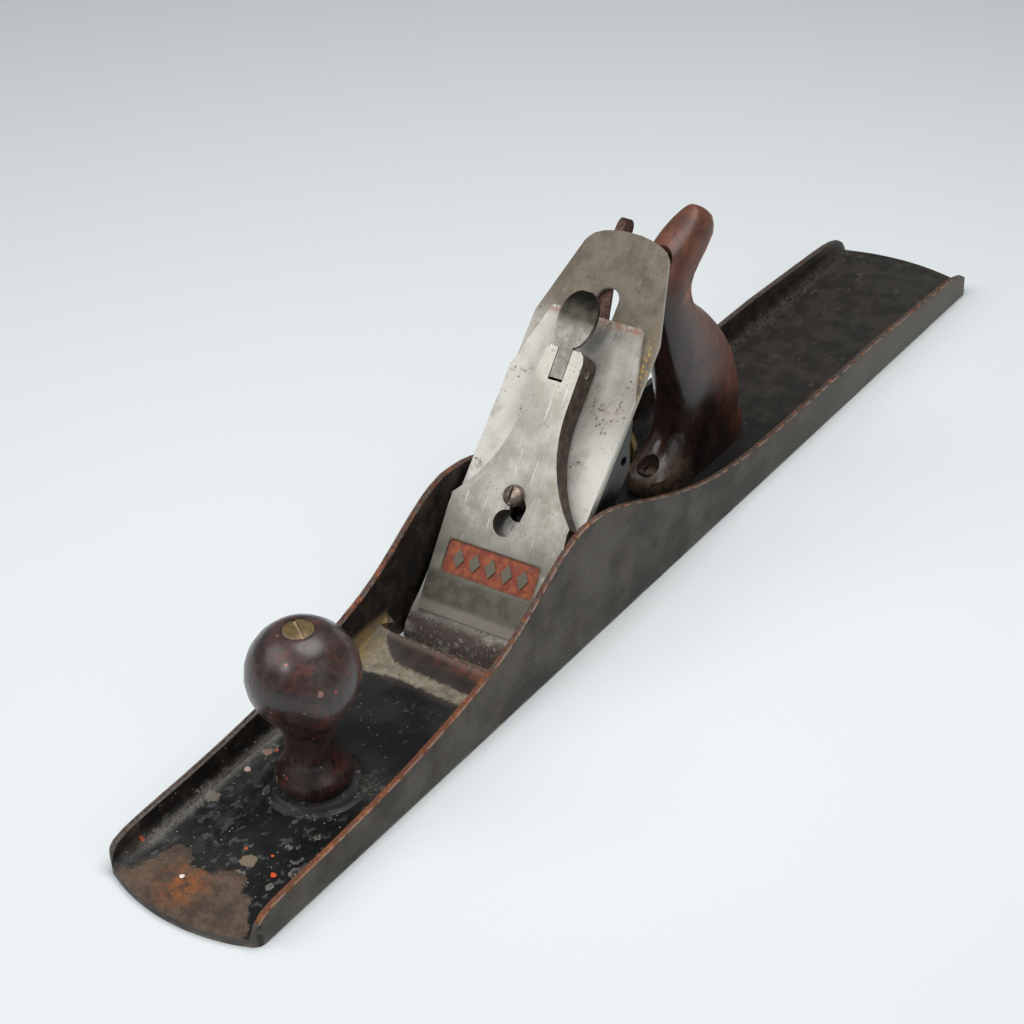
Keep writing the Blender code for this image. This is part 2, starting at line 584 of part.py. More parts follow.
def lateral_lever():
    lean = math.radians(13)
    reach = 65.6
    tip_s = LATERAL_PIVOT_AT + reach * math.cos(lean)
    tip_y = reach * math.sin(lean)
    start = tip_s - 16.0
    start_y = tip_y * (start - LATERAL_PIVOT_AT) / (tip_s - LATERAL_PIVOT_AT)
    outline = arc(ROLLER_AT, ROLLER_ACROSS, 4.2, 100, 260, 9)
    outline += [(LATERAL_PIVOT_AT, -4.6), (140, -3.6), (start, start_y - 3.4), (start + 4, start_y - 2.6),
                (start + 4, start_y + 2.6), (start, start_y + 3.4), (140, 4.6), (LATERAL_PIVOT_AT, 4.8)]
    lever = plate("lateral_lever", outline, BED_PLANE - 1.8, BED_PLANE - GAP, BED)
    tab_frame = BED @ Matrix.Translation((0, (start_y + 0.6), 0)) @ SIDE_VIEW
    tab = [(start - 1, BED_PLANE - 1.4), (start - 1, BED_PLANE - 0.5), (start + 6, BED_PLANE - 0.5)]
    tab += arc(tip_s - 4.0, BED_PLANE - 4.6, 4.0, 80, -90, 10)
    tab += [(start + 8, BED_PLANE - 8.6), (start + 2, BED_PLANE - 5.0)]
    join(lever, plate("tab", tab, -1.9, 1.9, tab_frame))
    cut(lever, rod("hole", 1.95, (LATERAL_PIVOT_AT, 0, -10), (LATERAL_PIVOT_AT, 0, 5), BED))
    cut(lever, rod("hole", 1.5, (ROLLER_AT, ROLLER_ACROSS, -10), (ROLLER_AT, ROLLER_ACROSS, 5), BED))
    lever.data.transform(BED.inverted())
    finish(lever, (0.09, 0.06, 0.045), 0.55, 0.6, BED_EMPTY, (LATERAL_PIVOT_AT, 0, BED_PLANE))
    rivet = turned("lateral_pivot_rivet", [(0, BED_PLANE + 0.2), (2.4, BED_PLANE), (2.6, BED_PLANE - 0.05),
                                           (2.6, BED_PLANE - 0.1), (1.5, BED_PLANE - 0.1),
                                           (1.3, BED_PLANE - 7), (0, BED_PLANE - 7)],
                   Matrix.Translation((LATERAL_PIVOT_AT, 0, 0)), steps=16)
    finish(rivet, (0.16, 0.15, 0.14), 0.45, 0.9, BED_EMPTY, (LATERAL_PIVOT_AT, 0, BED_PLANE))
    roller_profile = [(0, -0.3), (3.9, -0.3), (4.4, -0.7), (4.4, BED_PLANE + 0.05), (1.2, BED_PLANE + 0.05),
                      (1.2, BED_PLANE - 1.8), (0, BED_PLANE - 1.8)]
    seat = (ROLLER_AT, ROLLER_ACROSS, 0)
    roller = turned("lateral_roller", roller_profile, Matrix.Translation(seat), steps=20)
    finish(roller, (0.22, 0.21, 0.2), 0.4, 0.9, BED_EMPTY, seat)


# ---------------------------------------------------------------- irons

def cutting_iron():
    top_half = 20.4
    crown = 5.0
    outline = [(-5, BLADE_WIDTH / 2), (TAPER_START, BLADE_WIDTH / 2), (IRON_LENGTH - crown - 3.4, top_half)]
    outline += [(IRON_LENGTH - crown - 1.6, top_half - 1.0), (IRON_LENGTH - crown * 0.8, top_half - 3.2)]
    for share in (0.66, 0.42, 0.2):
        outline.append((IRON_LENGTH - crown * 0.96 * share ** 2, top_half * share))
    bevel = IRON_THICK / math.tan(BEVEL_ANGLE)
    profile = [(0, 0), (bevel, -IRON_THICK), (IRON_LENGTH + 5, -IRON_THICK), (IRON_LENGTH + 5, 0)]
    iron = side_plate("cutting_iron", profile, -40, 40)
    common(iron, plate("outline", mirrored(outline), -5, 5))
    cut(iron, plate("slot", capsule(52, 0, 159.5, 0, 5.5), -5, 5),
        rod("keyhole", 9.5, (50, 0, -5), (50, 0, 5), segments=32))
    finish(iron, (0.34, 0.31, 0.27), 0.5, 0.85, IRONS_EMPTY)


def cap_iron():
    under = GAP
    hump = [(1.4, under), (3.2, 1.3), (6.5, 1.95), (10.5, 1.9), (14.5, 1.5), (19, 0.7), (23, under)]
    thick = CAP_IRON_THICK
    top = [(23, under + thick), (18.5, 0.7 + thick + 0.05), (14.5, 1.5 + thick), (10.5, 1.85 + thick),
           (6.5, 1.5 + thick), (3.6, 2.3), (1.7, 1.0)]
    profile = hump + [(CAP_IRON_LENGTH, under), (CAP_IRON_LENGTH, under + thick)] + top
    iron = plate("cap_iron", profile, -BLADE_WIDTH / 2 - 1, BLADE_WIDTH / 2 + 1, SIDE_VIEW)
    half = BLADE_WIDTH / 2 + 0.1
    outline = [(0, half), (122, half), (CAP_IRON_LENGTH - 1.2, 22.2), (CAP_IRON_LENGTH, 21.0)]
    common(iron, plate("outline", mirrored(outline), -2, 8))
    cut(iron, plate("cap_screw_slot", capsule(66, 0, 74, 0, 5.0), -2, 8),
        plate("yoke_slot", [(87.1, -5.8), (92.9, -5.8), (92.9, 5.8), (87.1, 5.8)], -2, 8),
        rod("screw_hole", 3.9, (IRON_SCREW_AT, 0, -2), (IRON_SCREW_AT, 0, 8)))
    finish(iron, (0.42, 0.41, 0.39), 0.42, 0.9, IRONS_EMPTY)
    head = [(0, 2.5), (3.2, 2.5), (3.6, 2.1), (3.6, BED_PLANE), (7.5, BED_PLANE), (7.5, BED_PLANE - 1.8),
            (6.8, BED_PLANE - 2.5), (0, BED_PLANE - 2.5)]
    place = Matrix.Translation((IRON_SCREW_AT, 0, 0))
    screw = turned("cap_iron_screw", head, place, steps=20)
    slotted_head(screw, (IRON_SCREW_AT, 0, BED_PLANE - 2.5), (0, 0, -1), 1.4, 1.2, 9)
    finish(screw, (0.25, 0.23, 0.2), 0.45, 0.9, IRONS_EMPTY, (IRON_SCREW_AT, 0, 0))


# ---------------------------------------------------------------- lever cap

CAP_FACE = [(15, 5.0), (31, 7.3), (48, 9.4), (62, 11.2), (80, 12.5), (104, 14.0), (133, 15.2)]
CAP_HALF = 28.5
WAIST_HALF = 9.8
SHOULDER_AT = 64.0
WAIST_AT = 108.0
CAP_TOP_AT = 133.0
NECK_HALF = 3.1
PAD_LEAN = 0.016          # the end of the worn thumb pad has been bent to one side
PAD_LEAN_FROM = 146.0


def shoulder_curve(grow=0.0, count=9):
    """The concave side between shoulder and waist, moved inwards by grow."""
    run = WAIST_AT - SHOULDER_AT
    drop = CAP_HALF - WAIST_HALF
    radius = (run ** 2 + drop ** 2) / (2 * drop)
    points = []
    for i in range(count):
        s = SHOULDER_AT + run * i / (count - 1)
        y = WAIST_HALF + radius - math.sqrt(radius ** 2 - (WAIST_AT - s) ** 2)
        points.append((s - grow * 0.7 * (1 - i / (count - 1)), y - grow))
    return points


def lever_cap():
    under = 2.8
    profile = [(15, 3.9), (20.5, 3.9), (26, under), (CAP_TOP_AT, under)] + list(reversed(CAP_FACE))
    cap = plate("lever_cap", profile, -CAP_HALF - 2, CAP_HALF + 2, SIDE_VIEW)
    outline = [(15, CAP_HALF - 0.6), (16, CAP_HALF), (58, CAP_HALF), (61.5, CAP_HALF - 0.3)]
    outline += shoulder_curve() + [(129, WAIST_HALF), (131.6, 8.9), (CAP_TOP_AT, 7.4)]
    common(cap, plate("outline", mirrored(outline), 0, 25))
    hollow_side = [(36, under - 2), (130, under - 2), (126.5, 12.2), (104, 11.2), (80, 9.7), (62, 8.4),
                   (48, 6.6), (38, 5.2)]
    hollow_plan = [(35, CAP_HALF - 3), (60, CAP_HALF - 3)] + shoulder_curve(3.0)
    hollow_plan += [(122, WAIST_HALF - 3.0), (125, WAIST_HALF - 4.5)]
    hollow = plate("hollow", hollow_side, -40, 40, SIDE_VIEW)
    common(hollow, plate("plan", mirrored(hollow_plan), -5, 25))
    cut(cap, hollow)
    cut(cap, rod("lobe", 5.6, (58.5, 0.5, 0), (58.5, 0.5, 25), segments=32),
        plate("slot", capsule(61.5, -2.6, 66, -3.4, 3.5), 0, 25),
        plate("slot", capsule(66, -3.4, 70, 0, 3.5), 0, 25))
    cut(cap, plate("spring_way", [(118, -6.4), (140, -6.4), (140, 6.4), (118, 6.4)], 1, 4.7))
    notch = [(117.6, -2), (117.6, 11), (119.6, 15.5), (119.6, 25), (140, 25), (140, -2)]
    cut(cap, side_plate("notch", notch, -NECK_HALF - GAP, NECK_HALF + GAP),
        rod("pin_hole", 1.85, (CAM_PIN_AT, -20, CAM_PIN_HEIGHT), (CAM_PIN_AT, 20, CAM_PIN_HEIGHT)))
    cut(cap, lever_cap_panel())
    finish(cap, (0.42, 0.41, 0.39), 0.38, 0.95, CAP_EMPTY, (CAP_SCREW_AT, 0, 0))


def lever_cap_panel():
    """The cutter for the sunk panel, with a row of lozenges left standing in it."""
    low, high, half, radius, sink = 32.2, 46.2, 22.3, 2.2, 0.55
    corner = arc(low + radius, half - radius, radius, 180, 90, 4)
    corner += arc(high - radius, half - radius, radius, 90, 0, 4)
    (s0, h0), (s1, h1) = CAP_FACE[1:3]
    slope = Matrix.Rotation(-math.atan2(h1 - h0, s1 - s0), 4, "Y")
    rise = Matrix.Translation((s0, 0.7, h0)) @ slope @ Matrix.Translation((-s0, 0, 0))
    cutter = plate("panel", mirrored(corner), -sink, 4, rise)
    middle = (low + high) / 2
    for i in range(5):
        y = (i - 2) * 7.8
        lozenge = [(middle - 4.2, y), (middle, y + 2.7), (middle + 4.2, y), (middle, y - 2.7)]
        cut(cutter, plate("lozenge", lozenge, -2, 6, rise))
    return cutter


def cam_lever():
    """A cam on a pin, with a tail that lies flush in the cap's notch and an egg-shaped thumb pad."""
    s, h = CAM_PIN_AT, CAM_PIN_HEIGHT
    cam = [(s - 0.5, h - 5.2), (s + 3.2, h - 4.2), (s + 5.2, h - 1.4)]
    under = [(134.2, 14.1), (137, 13.5), (140, 13.2), (146, 13.4), (151, 14.2), (155, 15.8), (157.5, 17.5)]
    top = [(157.0, 18.4), (154, 17.0), (149.5, 15.8), (145, 15.3), (138, 15.4), (133.5, 15.5), (132, 15.1)]
    tail = [(120.3, 14.6), (120.9, 12.3), (s - 4.6, h + 1.0), (s - 4.0, h - 2.6)]
    lever = plate("cam_lever", cam + under + top + tail, -14, 14, SIDE_VIEW)
    pad = [(119, NECK_HALF), (133.9, NECK_HALF), (134.2, 3.9), (135.2, 5.4), (137, 6.6), (140, 7.8),
           (144, 8.6), (147.5, 8.8), (151, 8.2), (154, 6.9), (156.1, 4.7), (157.3, 2.2)]
    leaning = [(x, y - PAD_LEAN * max(0, x - PAD_LEAN_FROM) ** 2) for x, y in mirrored(pad)]
    common(lever, plate("outline", leaning, 0, 40))
    cut(lever, rod("bore", 1.85, (s, -10, h), (s, 10, h)))
    finish(lever, (0.32, 0.31, 0.29), 0.3, 0.95, CAP_EMPTY, (s, 0, h))
    pin = rod("cam_lever_pin", 1.55, (s, -9.2, h), (s, 9.2, h), segments=20)
    finish(pin, (0.2, 0.19, 0.18), 0.4, 0.9, CAP_EMPTY, (s, 0, h))


def lever_cap_spring():
    thick = 0.7
    low = [(98, 9.6), (104.5, 9.7), (113.5, 3.0), (131.5, 2.6)]
    high = [(131.5, 2.6 + thick), (113.8, 3.0 + thick), (104.8, 9.7 + thick), (98, 9.6 + thick)]
    spring = plate("lever_cap_spring", low + high, -5.4, 5.4, SIDE_VIEW)
    cut(spring, rod("hole", 1.7, (101, 0, 5), (101, 0, 15)))
    finish(spring, (0.2, 0.19, 0.18), 0.4, 0.9, CAP_EMPTY, (101, 0, 9.6))
    rivet = turned("spring_rivet", [(0, 10.5), (1.35, 10.5), (1.35, 9.3), (3.0, 9.3), (2.6, 8.4), (0, 7.9)],
                   Matrix.Translation((101, 0, 0)), steps=12)
    finish(rivet, (0.2, 0.19, 0.18), 0.4, 0.9, CAP_EMPTY, (101, 0, 9.3))


def lever_cap_screw():
    top = 12.35
    dome = [(4.6 * math.sin(math.radians(a)), top + 0.7 + 2.7 * math.cos(math.radians(a)))
            for a in (0, 18, 36, 54, 72, 90)]
    profile = dome + [(4.6, top), (3.0, top), (3.0, -16.5), (2.4, -17.2), (0, -17.2)]
    place = Matrix.Translation((CAP_SCREW_AT, 0, 0))
    screw = turned("lever_cap_screw", profile, place, steps=24)
    turn = Matrix.Rotation(math.radians(4), 4, "Z")
    cut(screw, box("slot", (-6, -0.55, top + 1.9), (6, 0.55, top + 6), place @ turn))
    finish(screw, (0.22, 0.19, 0.16), 0.35, 0.9, BED_EMPTY, (CAP_SCREW_AT, 0, 0))


# ---------------------------------------------------------------- knob

def knob():
    place = Matrix.Translation((KNOB_X, 0, 0))
    ball = []
    for degrees in (21, 34, 48, 62, 76, 90, 104, 118, 132):
        a = math.radians(degrees)
        ball.append((KNOB_BALL * math.sin(a), KNOB_BALL_Z + KNOB_BALL * math.cos(a)))
    foot = [(12.9, 38.0), (10.7, 33.6), (9.8, 28.0), (10.2, 21.6), (11.7, 17.2), (13.6, 14.4),
            (14.9, 12.4), (15.1, 9.6), (14.5, 7.3)]
    bore = [(3.1, 7.3), (3.1, 59.8), (4.3, 59.8), (4.3, 72.6), (6.2, 72.6)]
    wood = turned("knob", [(6.2, 77.6)] + ball + foot + bore, place, closed=True, steps=40)
    finish(wood, (0.06, 0.025, 0.02), 0.3, 0.0, origin=(KNOB_X, 0, 7.3))
    nut_profile = [(0, 78.6), (3.0, 78.5), (5.2, 78.1), (5.85, 77.6), (5.85, 73.0), (3.95, 73.0),
                   (3.95, 60.6), (3.0, 60.6), (3.0, 75.6), (0, 75.6)]
    nut = turned("knob_nut", nut_profile, place, steps=20)
    turn = Matrix.Rotation(math.radians(59), 4, "Z")
    cut(nut, box("slot", (-8, -0.65, 76.9), (8, 0.65, 81), place @ turn))
    finish(nut, (0.40, 0.29, 0.12), 0.4, 0.9, origin=(KNOB_X, 0, 73.0))
    bolt = rod("knob_rod", 2.7, (KNOB_X, 0, 2.0), (KNOB_X, 0, 74.8))
    finish(bolt, (0.2, 0.18, 0.16), 0.5, 0.9, origin=(KNOB_X, 0, 2.0))


# ---------------------------------------------------------------- rear handle

# Front and rear of the handle in side view, as (height, X)
HANDLE_FRONT = [(4.6, 27.5), (8, 26.5), (12, 27.5), (15.5, 31), (18.5, 37), (22.5, 42.5), (28, 46),
                (36, 47.2), (48, 46), (62, 42.8), (78, 38.6), (92, 35.6), (102, 34.8), (109, 36.6),
                (114.5, 40), (119, 45.2), (122.5, 52), (125, 59.4), (127, 65.4), (128.6, 69),
                (129.2, 71)]
HANDLE_REAR = [(4.6, 104), (16, 103.6), (27, 102.8), (38, 100.4), (48, 96.6), (57, 91.2), (67, 84),
               (75, 77), (81, 71), (86, 65.2), (90, 61.8), (94, 60), (98, 59.2), (102, 59.8),
               (106, 63.4), (110, 70), (114, 77.4), (117.5, 81), (121, 80.8), (125, 77.6),
               (127.8, 74), (129.2, 71.6)]
HANDLE_THICK = [(4.6, 12.4), (20, 12.2), (45, 11.6), (75, 11.4), (100, 10.9), (112, 10.2), (119, 9.0),
                (123.5, 7.2), (127, 4.6), (128.6, 2.4), (129.2, 1.0)]


def handle_bolt_point(height):
    """A point on the axis of the handle's bolt."""
    (xt, zt), (xf, zf) = HANDLE_BOLT_TOP, HANDLE_BOLT_FOOT
    share = (height - zf) / (zt - zf)
    return (xf + (xt - xf) * share, 0, height)


def handle_ring(height, count=24):
    front = smooth_curve(HANDLE_FRONT, height)
    rear = smooth_curve(HANDLE_REAR, height)
    half = smooth_curve(HANDLE_THICK, height)
    power = 2 / (3.4 if height < 16 else 2.35)
    middle, reach = (front + rear) / 2, (rear - front) / 2
    ring = []
    for i in range(count):
        a = 2 * math.pi * i / count
        c, s = math.cos(a), math.sin(a)
        ring.append((middle + reach * math.copysign(abs(c) ** power, c),
                     half * math.copysign(abs(s) ** power, s), height))
    return ring


def handle():
    levels = [4.6, 7, 10, 13, 16, 18.5, 21, 24.5, 29, 36, 44, 52, 60, 68, 75, 80, 84, 88, 91, 94.5,
              98, 102, 105.5, 109, 112.5, 116, 119, 122, 124.4, 126.4, 127.9, 128.8, 129.2]
    wood = loft("handle", [handle_ring(z) for z in levels])
    top = Vector(handle_bolt_point(HANDLE_BOLT_TOP[1]))
    foot = Vector(handle_bolt_point(0))
    way = (top - foot).normalized()
    seat = top - way * 5.0
    cut(wood, rod("bore", 3.1, foot, top, segments=20),
        rod("barrel", 4.3, seat - way * 16, top, segments=20),
        rod("seat", 6.2, seat, top + way * 12, segments=24),
        rod("toe_bore", 2.5, (TOE_SCREW_X, 0, 0), (TOE_SCREW_X, 0, 30), segments=20),
        rod("toe_seat", 5.0, (TOE_SCREW_X, 0, 13.2), (TOE_SCREW_X, 0, 30), segments=24))
    finish(wood, (0.10, 0.035, 0.02), 0.35, 0.0, origin=(HANDLE_BOLT_FOOT[0], 0, HANDLE_BASE), sharp=50)
    tilt = way.to_track_quat("Z", "Y").to_matrix().to_4x4()
    place = Matrix.Translation(seat) @ tilt
    profile = [(0, 5.2), (3.0, 5.1), (5.2, 4.7), (5.85, 4.2), (5.85, 0.35), (3.95, 0.35), (3.95, -15.4),
               (3.0, -15.4), (3.0, 2.4), (0, 2.4)]
    nut = turned("handle_nut", profile, place, steps=16)
    cut(nut, box("slot", (-8, -0.65, 3.4), (8, 0.65, 8), place))
    finish(nut, (0.40, 0.29, 0.12), 0.4, 0.9, origin=seat)
    bolt = rod("handle_rod", 2.7, handle_bolt_point(2.6), seat + way * 1.8, segments=20)
    finish(bolt, (0.2, 0.18, 0.16), 0.5, 0.9, origin=handle_bolt_point(2.6))
    screw_profile = [(0, 16.4), (2.6, 16.0), (4.2, 14.9), (4.6, 13.6), (2.1, 13.6), (2.1, 2.2), (0, 2.2)]
    screw = turned("handle_toe_screw", screw_profile, Matrix.Translation((TOE_SCREW_X, 0, 0)), steps=16)
    slotted_head(screw, (TOE_SCREW_X, 0, 16.4), (0, 0, 1), 1.1, 1.2, 8)
    finish(screw, (0.35, 0.26, 0.12), 0.45, 0.9, origin=(TOE_SCREW_X, 0, 13.6))


bed_casting()
frog()
frog_screws()
frog_adjuster()
depth_yoke()
depth_nut()
lateral_lever()
cutting_iron()
cap_iron()
lever_cap()
cam_lever()
lever_cap_spring()
lever_cap_screw()
knob()
handle()
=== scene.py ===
"""Looks of a 22 inch jointer plane: old cast iron, worn nickel, pitted steel, brass and rosewood.

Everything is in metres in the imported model's frame: toe towards -X, sole on Z = 0. Materials work in
millimetres of that frame, which their pieces carry with them when they move.
"""
import json
import math

import bmesh
import bpy
from mathutils import Matrix, Vector

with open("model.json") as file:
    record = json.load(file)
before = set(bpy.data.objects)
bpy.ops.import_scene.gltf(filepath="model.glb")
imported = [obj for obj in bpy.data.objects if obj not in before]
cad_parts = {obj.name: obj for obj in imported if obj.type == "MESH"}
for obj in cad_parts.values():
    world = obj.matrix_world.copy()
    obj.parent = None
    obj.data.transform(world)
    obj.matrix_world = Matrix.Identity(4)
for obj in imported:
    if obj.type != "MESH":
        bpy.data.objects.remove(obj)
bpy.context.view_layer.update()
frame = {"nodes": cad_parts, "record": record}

NODES = frame["nodes"]
MM = 0.001

# The bed frame: its origin is the middle of the cutting edge, and it leans back at 45 degrees
EDGE = Vector((-104.8, 0, 0.3))
UP_BLADE = Vector((1, 0, 1)).normalized()
OUT_OF_BLADE = Vector((-1, 0, 1)).normalized()

# The irons and the lever cap stand askew: by so many degrees, about a point so far up the blade
IRONS_ASKEW = (1.2, 45)
CAP_ASKEW = (2.4, 70)

# Half widths in millimetres, to the inside and to the outside of the cheeks
CHEEK_IN = 33.3
CHEEK_OUT = 36.5

# Along the plane in millimetres: the toe side of the cross rib, its ridge, and where the irons meet it
RIB_FOOT = -136
RIDGE = -114
MOUTH = -104

# The sunk panel of the lever cap: its ends up the blade, its middle across, and half its width
PANEL_LOW, PANEL_HIGH = 31.7, 46.7
PANEL_MIDDLE, PANEL_HALF = 0.7, 22.9

# The lever cap's face near the panel: how far out it stands, from how far up, and how it rises
FACE_OUT = 7.3
FACE_FROM = 31
FACE_SLOPE = 2.1 / 17

# The depth nut: height of its axis, and how closely its ribs stand
NUT_HEIGHT = 48
NUT_RIBS = 40

# Tolerances of the modifiers: how near vertices weld, in metres, and how near to flat, in degrees,
# faces join
WELD_WITHIN = 0.000002
FLAT_WITHIN = 0.4

# Single spots on the floor of the toe: where they are, their radius, and their colour
TOE_SPOTS = (
    (-243.5, -19.3, 1.3, (214, 86, 38)),
    (-238.3, -1.7, 0.8, (196, 84, 44)),
    (-236, -12.5, 0.7, (206, 96, 52)),
    (-257.5, 31.8, 0.9, (170, 72, 42)),
    (-262.3, 8.2, 1.1, (228, 220, 206)),
    (-243.0, -6.5, 3.4, (120, 108, 88)),
    (-193.3, 26.7, 2.0, (150, 122, 104)),
    (-190.5, 24.4, 0.8, (196, 92, 60)),
    (-205.0, 26.6, 1.4, (204, 178, 164)),
    (-224, 27.5, 3.0, (118, 110, 100)),
)

# Camera: where it stands, and where it looks, in degrees
CAMERA_PLACE = (-0.6715, -0.4610, 0.5872)
CAMERA_YAW = 37.28
CAMERA_PITCH = 35.13
CAMERA_ROLL = -2.70
CAMERA_LENS = 81.1          # mm, on a sensor 36 mm wide


# ---------------------------------------------------------------- stage

def camera():
    data = bpy.data.cameras.new("camera")
    data.lens = CAMERA_LENS
    data.sensor_width = 36
    data.clip_start = 0.01
    yaw, pitch, roll = (math.radians(a) for a in (CAMERA_YAW, CAMERA_PITCH, CAMERA_ROLL))
    ahead = Vector((math.cos(yaw) * math.cos(pitch), math.sin(yaw) * math.cos(pitch), -math.sin(pitch)))
    level = Vector((math.sin(yaw), -math.cos(yaw), 0))
    up = level.cross(ahead)
    right = math.cos(roll) * level + math.sin(roll) * up
    top = math.cos(roll) * up - math.sin(roll) * level
    turn = Matrix((right, top, -ahead)).transposed().to_4x4()
    obj = bpy.data.objects.new("camera", data)
    obj.matrix_world = Matrix.Translation(CAMERA_PLACE) @ turn
    bpy.context.scene.collection.objects.link(obj)
    bpy.context.scene.camera = obj


def soft_light(name, place, size, power, colour=(1, 1, 1)):
    """A round soft light that looks at the middle of the plane."""
    data = bpy.data.lights.new(name, "AREA")
    data.shape = "DISK"
    data.size = size
    data.energy = power
    data.color = colour
    obj = bpy.data.objects.new(name, data)
    obj.location = place
    obj.rotation_euler = (-Vector(place)).to_track_quat("-Z", "Y").to_euler()
    bpy.context.scene.collection.objects.link(obj)


def stage():
    """A pale floor, four soft lights round the plane, and a dim room."""
    bm = bmesh.new()
    bmesh.ops.create_grid(bm, x_segments=1, y_segments=1, size=6)
    mesh = bpy.data.meshes.new("floor")
    bm.to_mesh(mesh)
    bm.free()
    floor = bpy.data.objects.new("floor", mesh)
    bpy.context.scene.collection.objects.link(floor)
    made = bpy.data.materials.new("pale_floor")
    made.use_nodes = True
    shader = made.node_tree.nodes["Principled BSDF"]
    shader.inputs["Base Color"].default_value = (0.76, 0.80, 0.81, 1)
    shader.inputs["Roughness"].default_value = 0.8
    shader.inputs["Specular IOR Level"].default_value = 0.2
    mesh.materials.append(made)
    world = bpy.data.worlds.new("studio")
    world.use_nodes = True
    background = world.node_tree.nodes["Background"]
    background.inputs["Color"].default_value = (0.95, 0.98, 1.0, 1)
    background.inputs["Strength"].default_value = 0.24
    bpy.context.scene.world = world
    soft_light("overhead", (0.02, -0.12, 0.85), 0.7, 5.4)
    soft_light("key", (-0.72, 0.70, 0.95), 0.9, 4.5)
    soft_light("window", (-1.10, 0.08, 0.95), 0.3, 3.0)
    soft_light("fill", (-0.45, -1.1, 0.7), 1.0, 1.6)
    bpy.context.scene.view_settings.view_transform = "Standard"


# ---------------------------------------------------------------- materials

def tone(red, green, blue):
    """A screen colour, each part from 0 to 255, as the linear colour a shader takes."""
    parts = (red / 255, green / 255, blue / 255)
    return tuple(p / 12.92 if p <= 0.04045 else ((p + 0.055) / 1.055) ** 2.4 for p in parts)


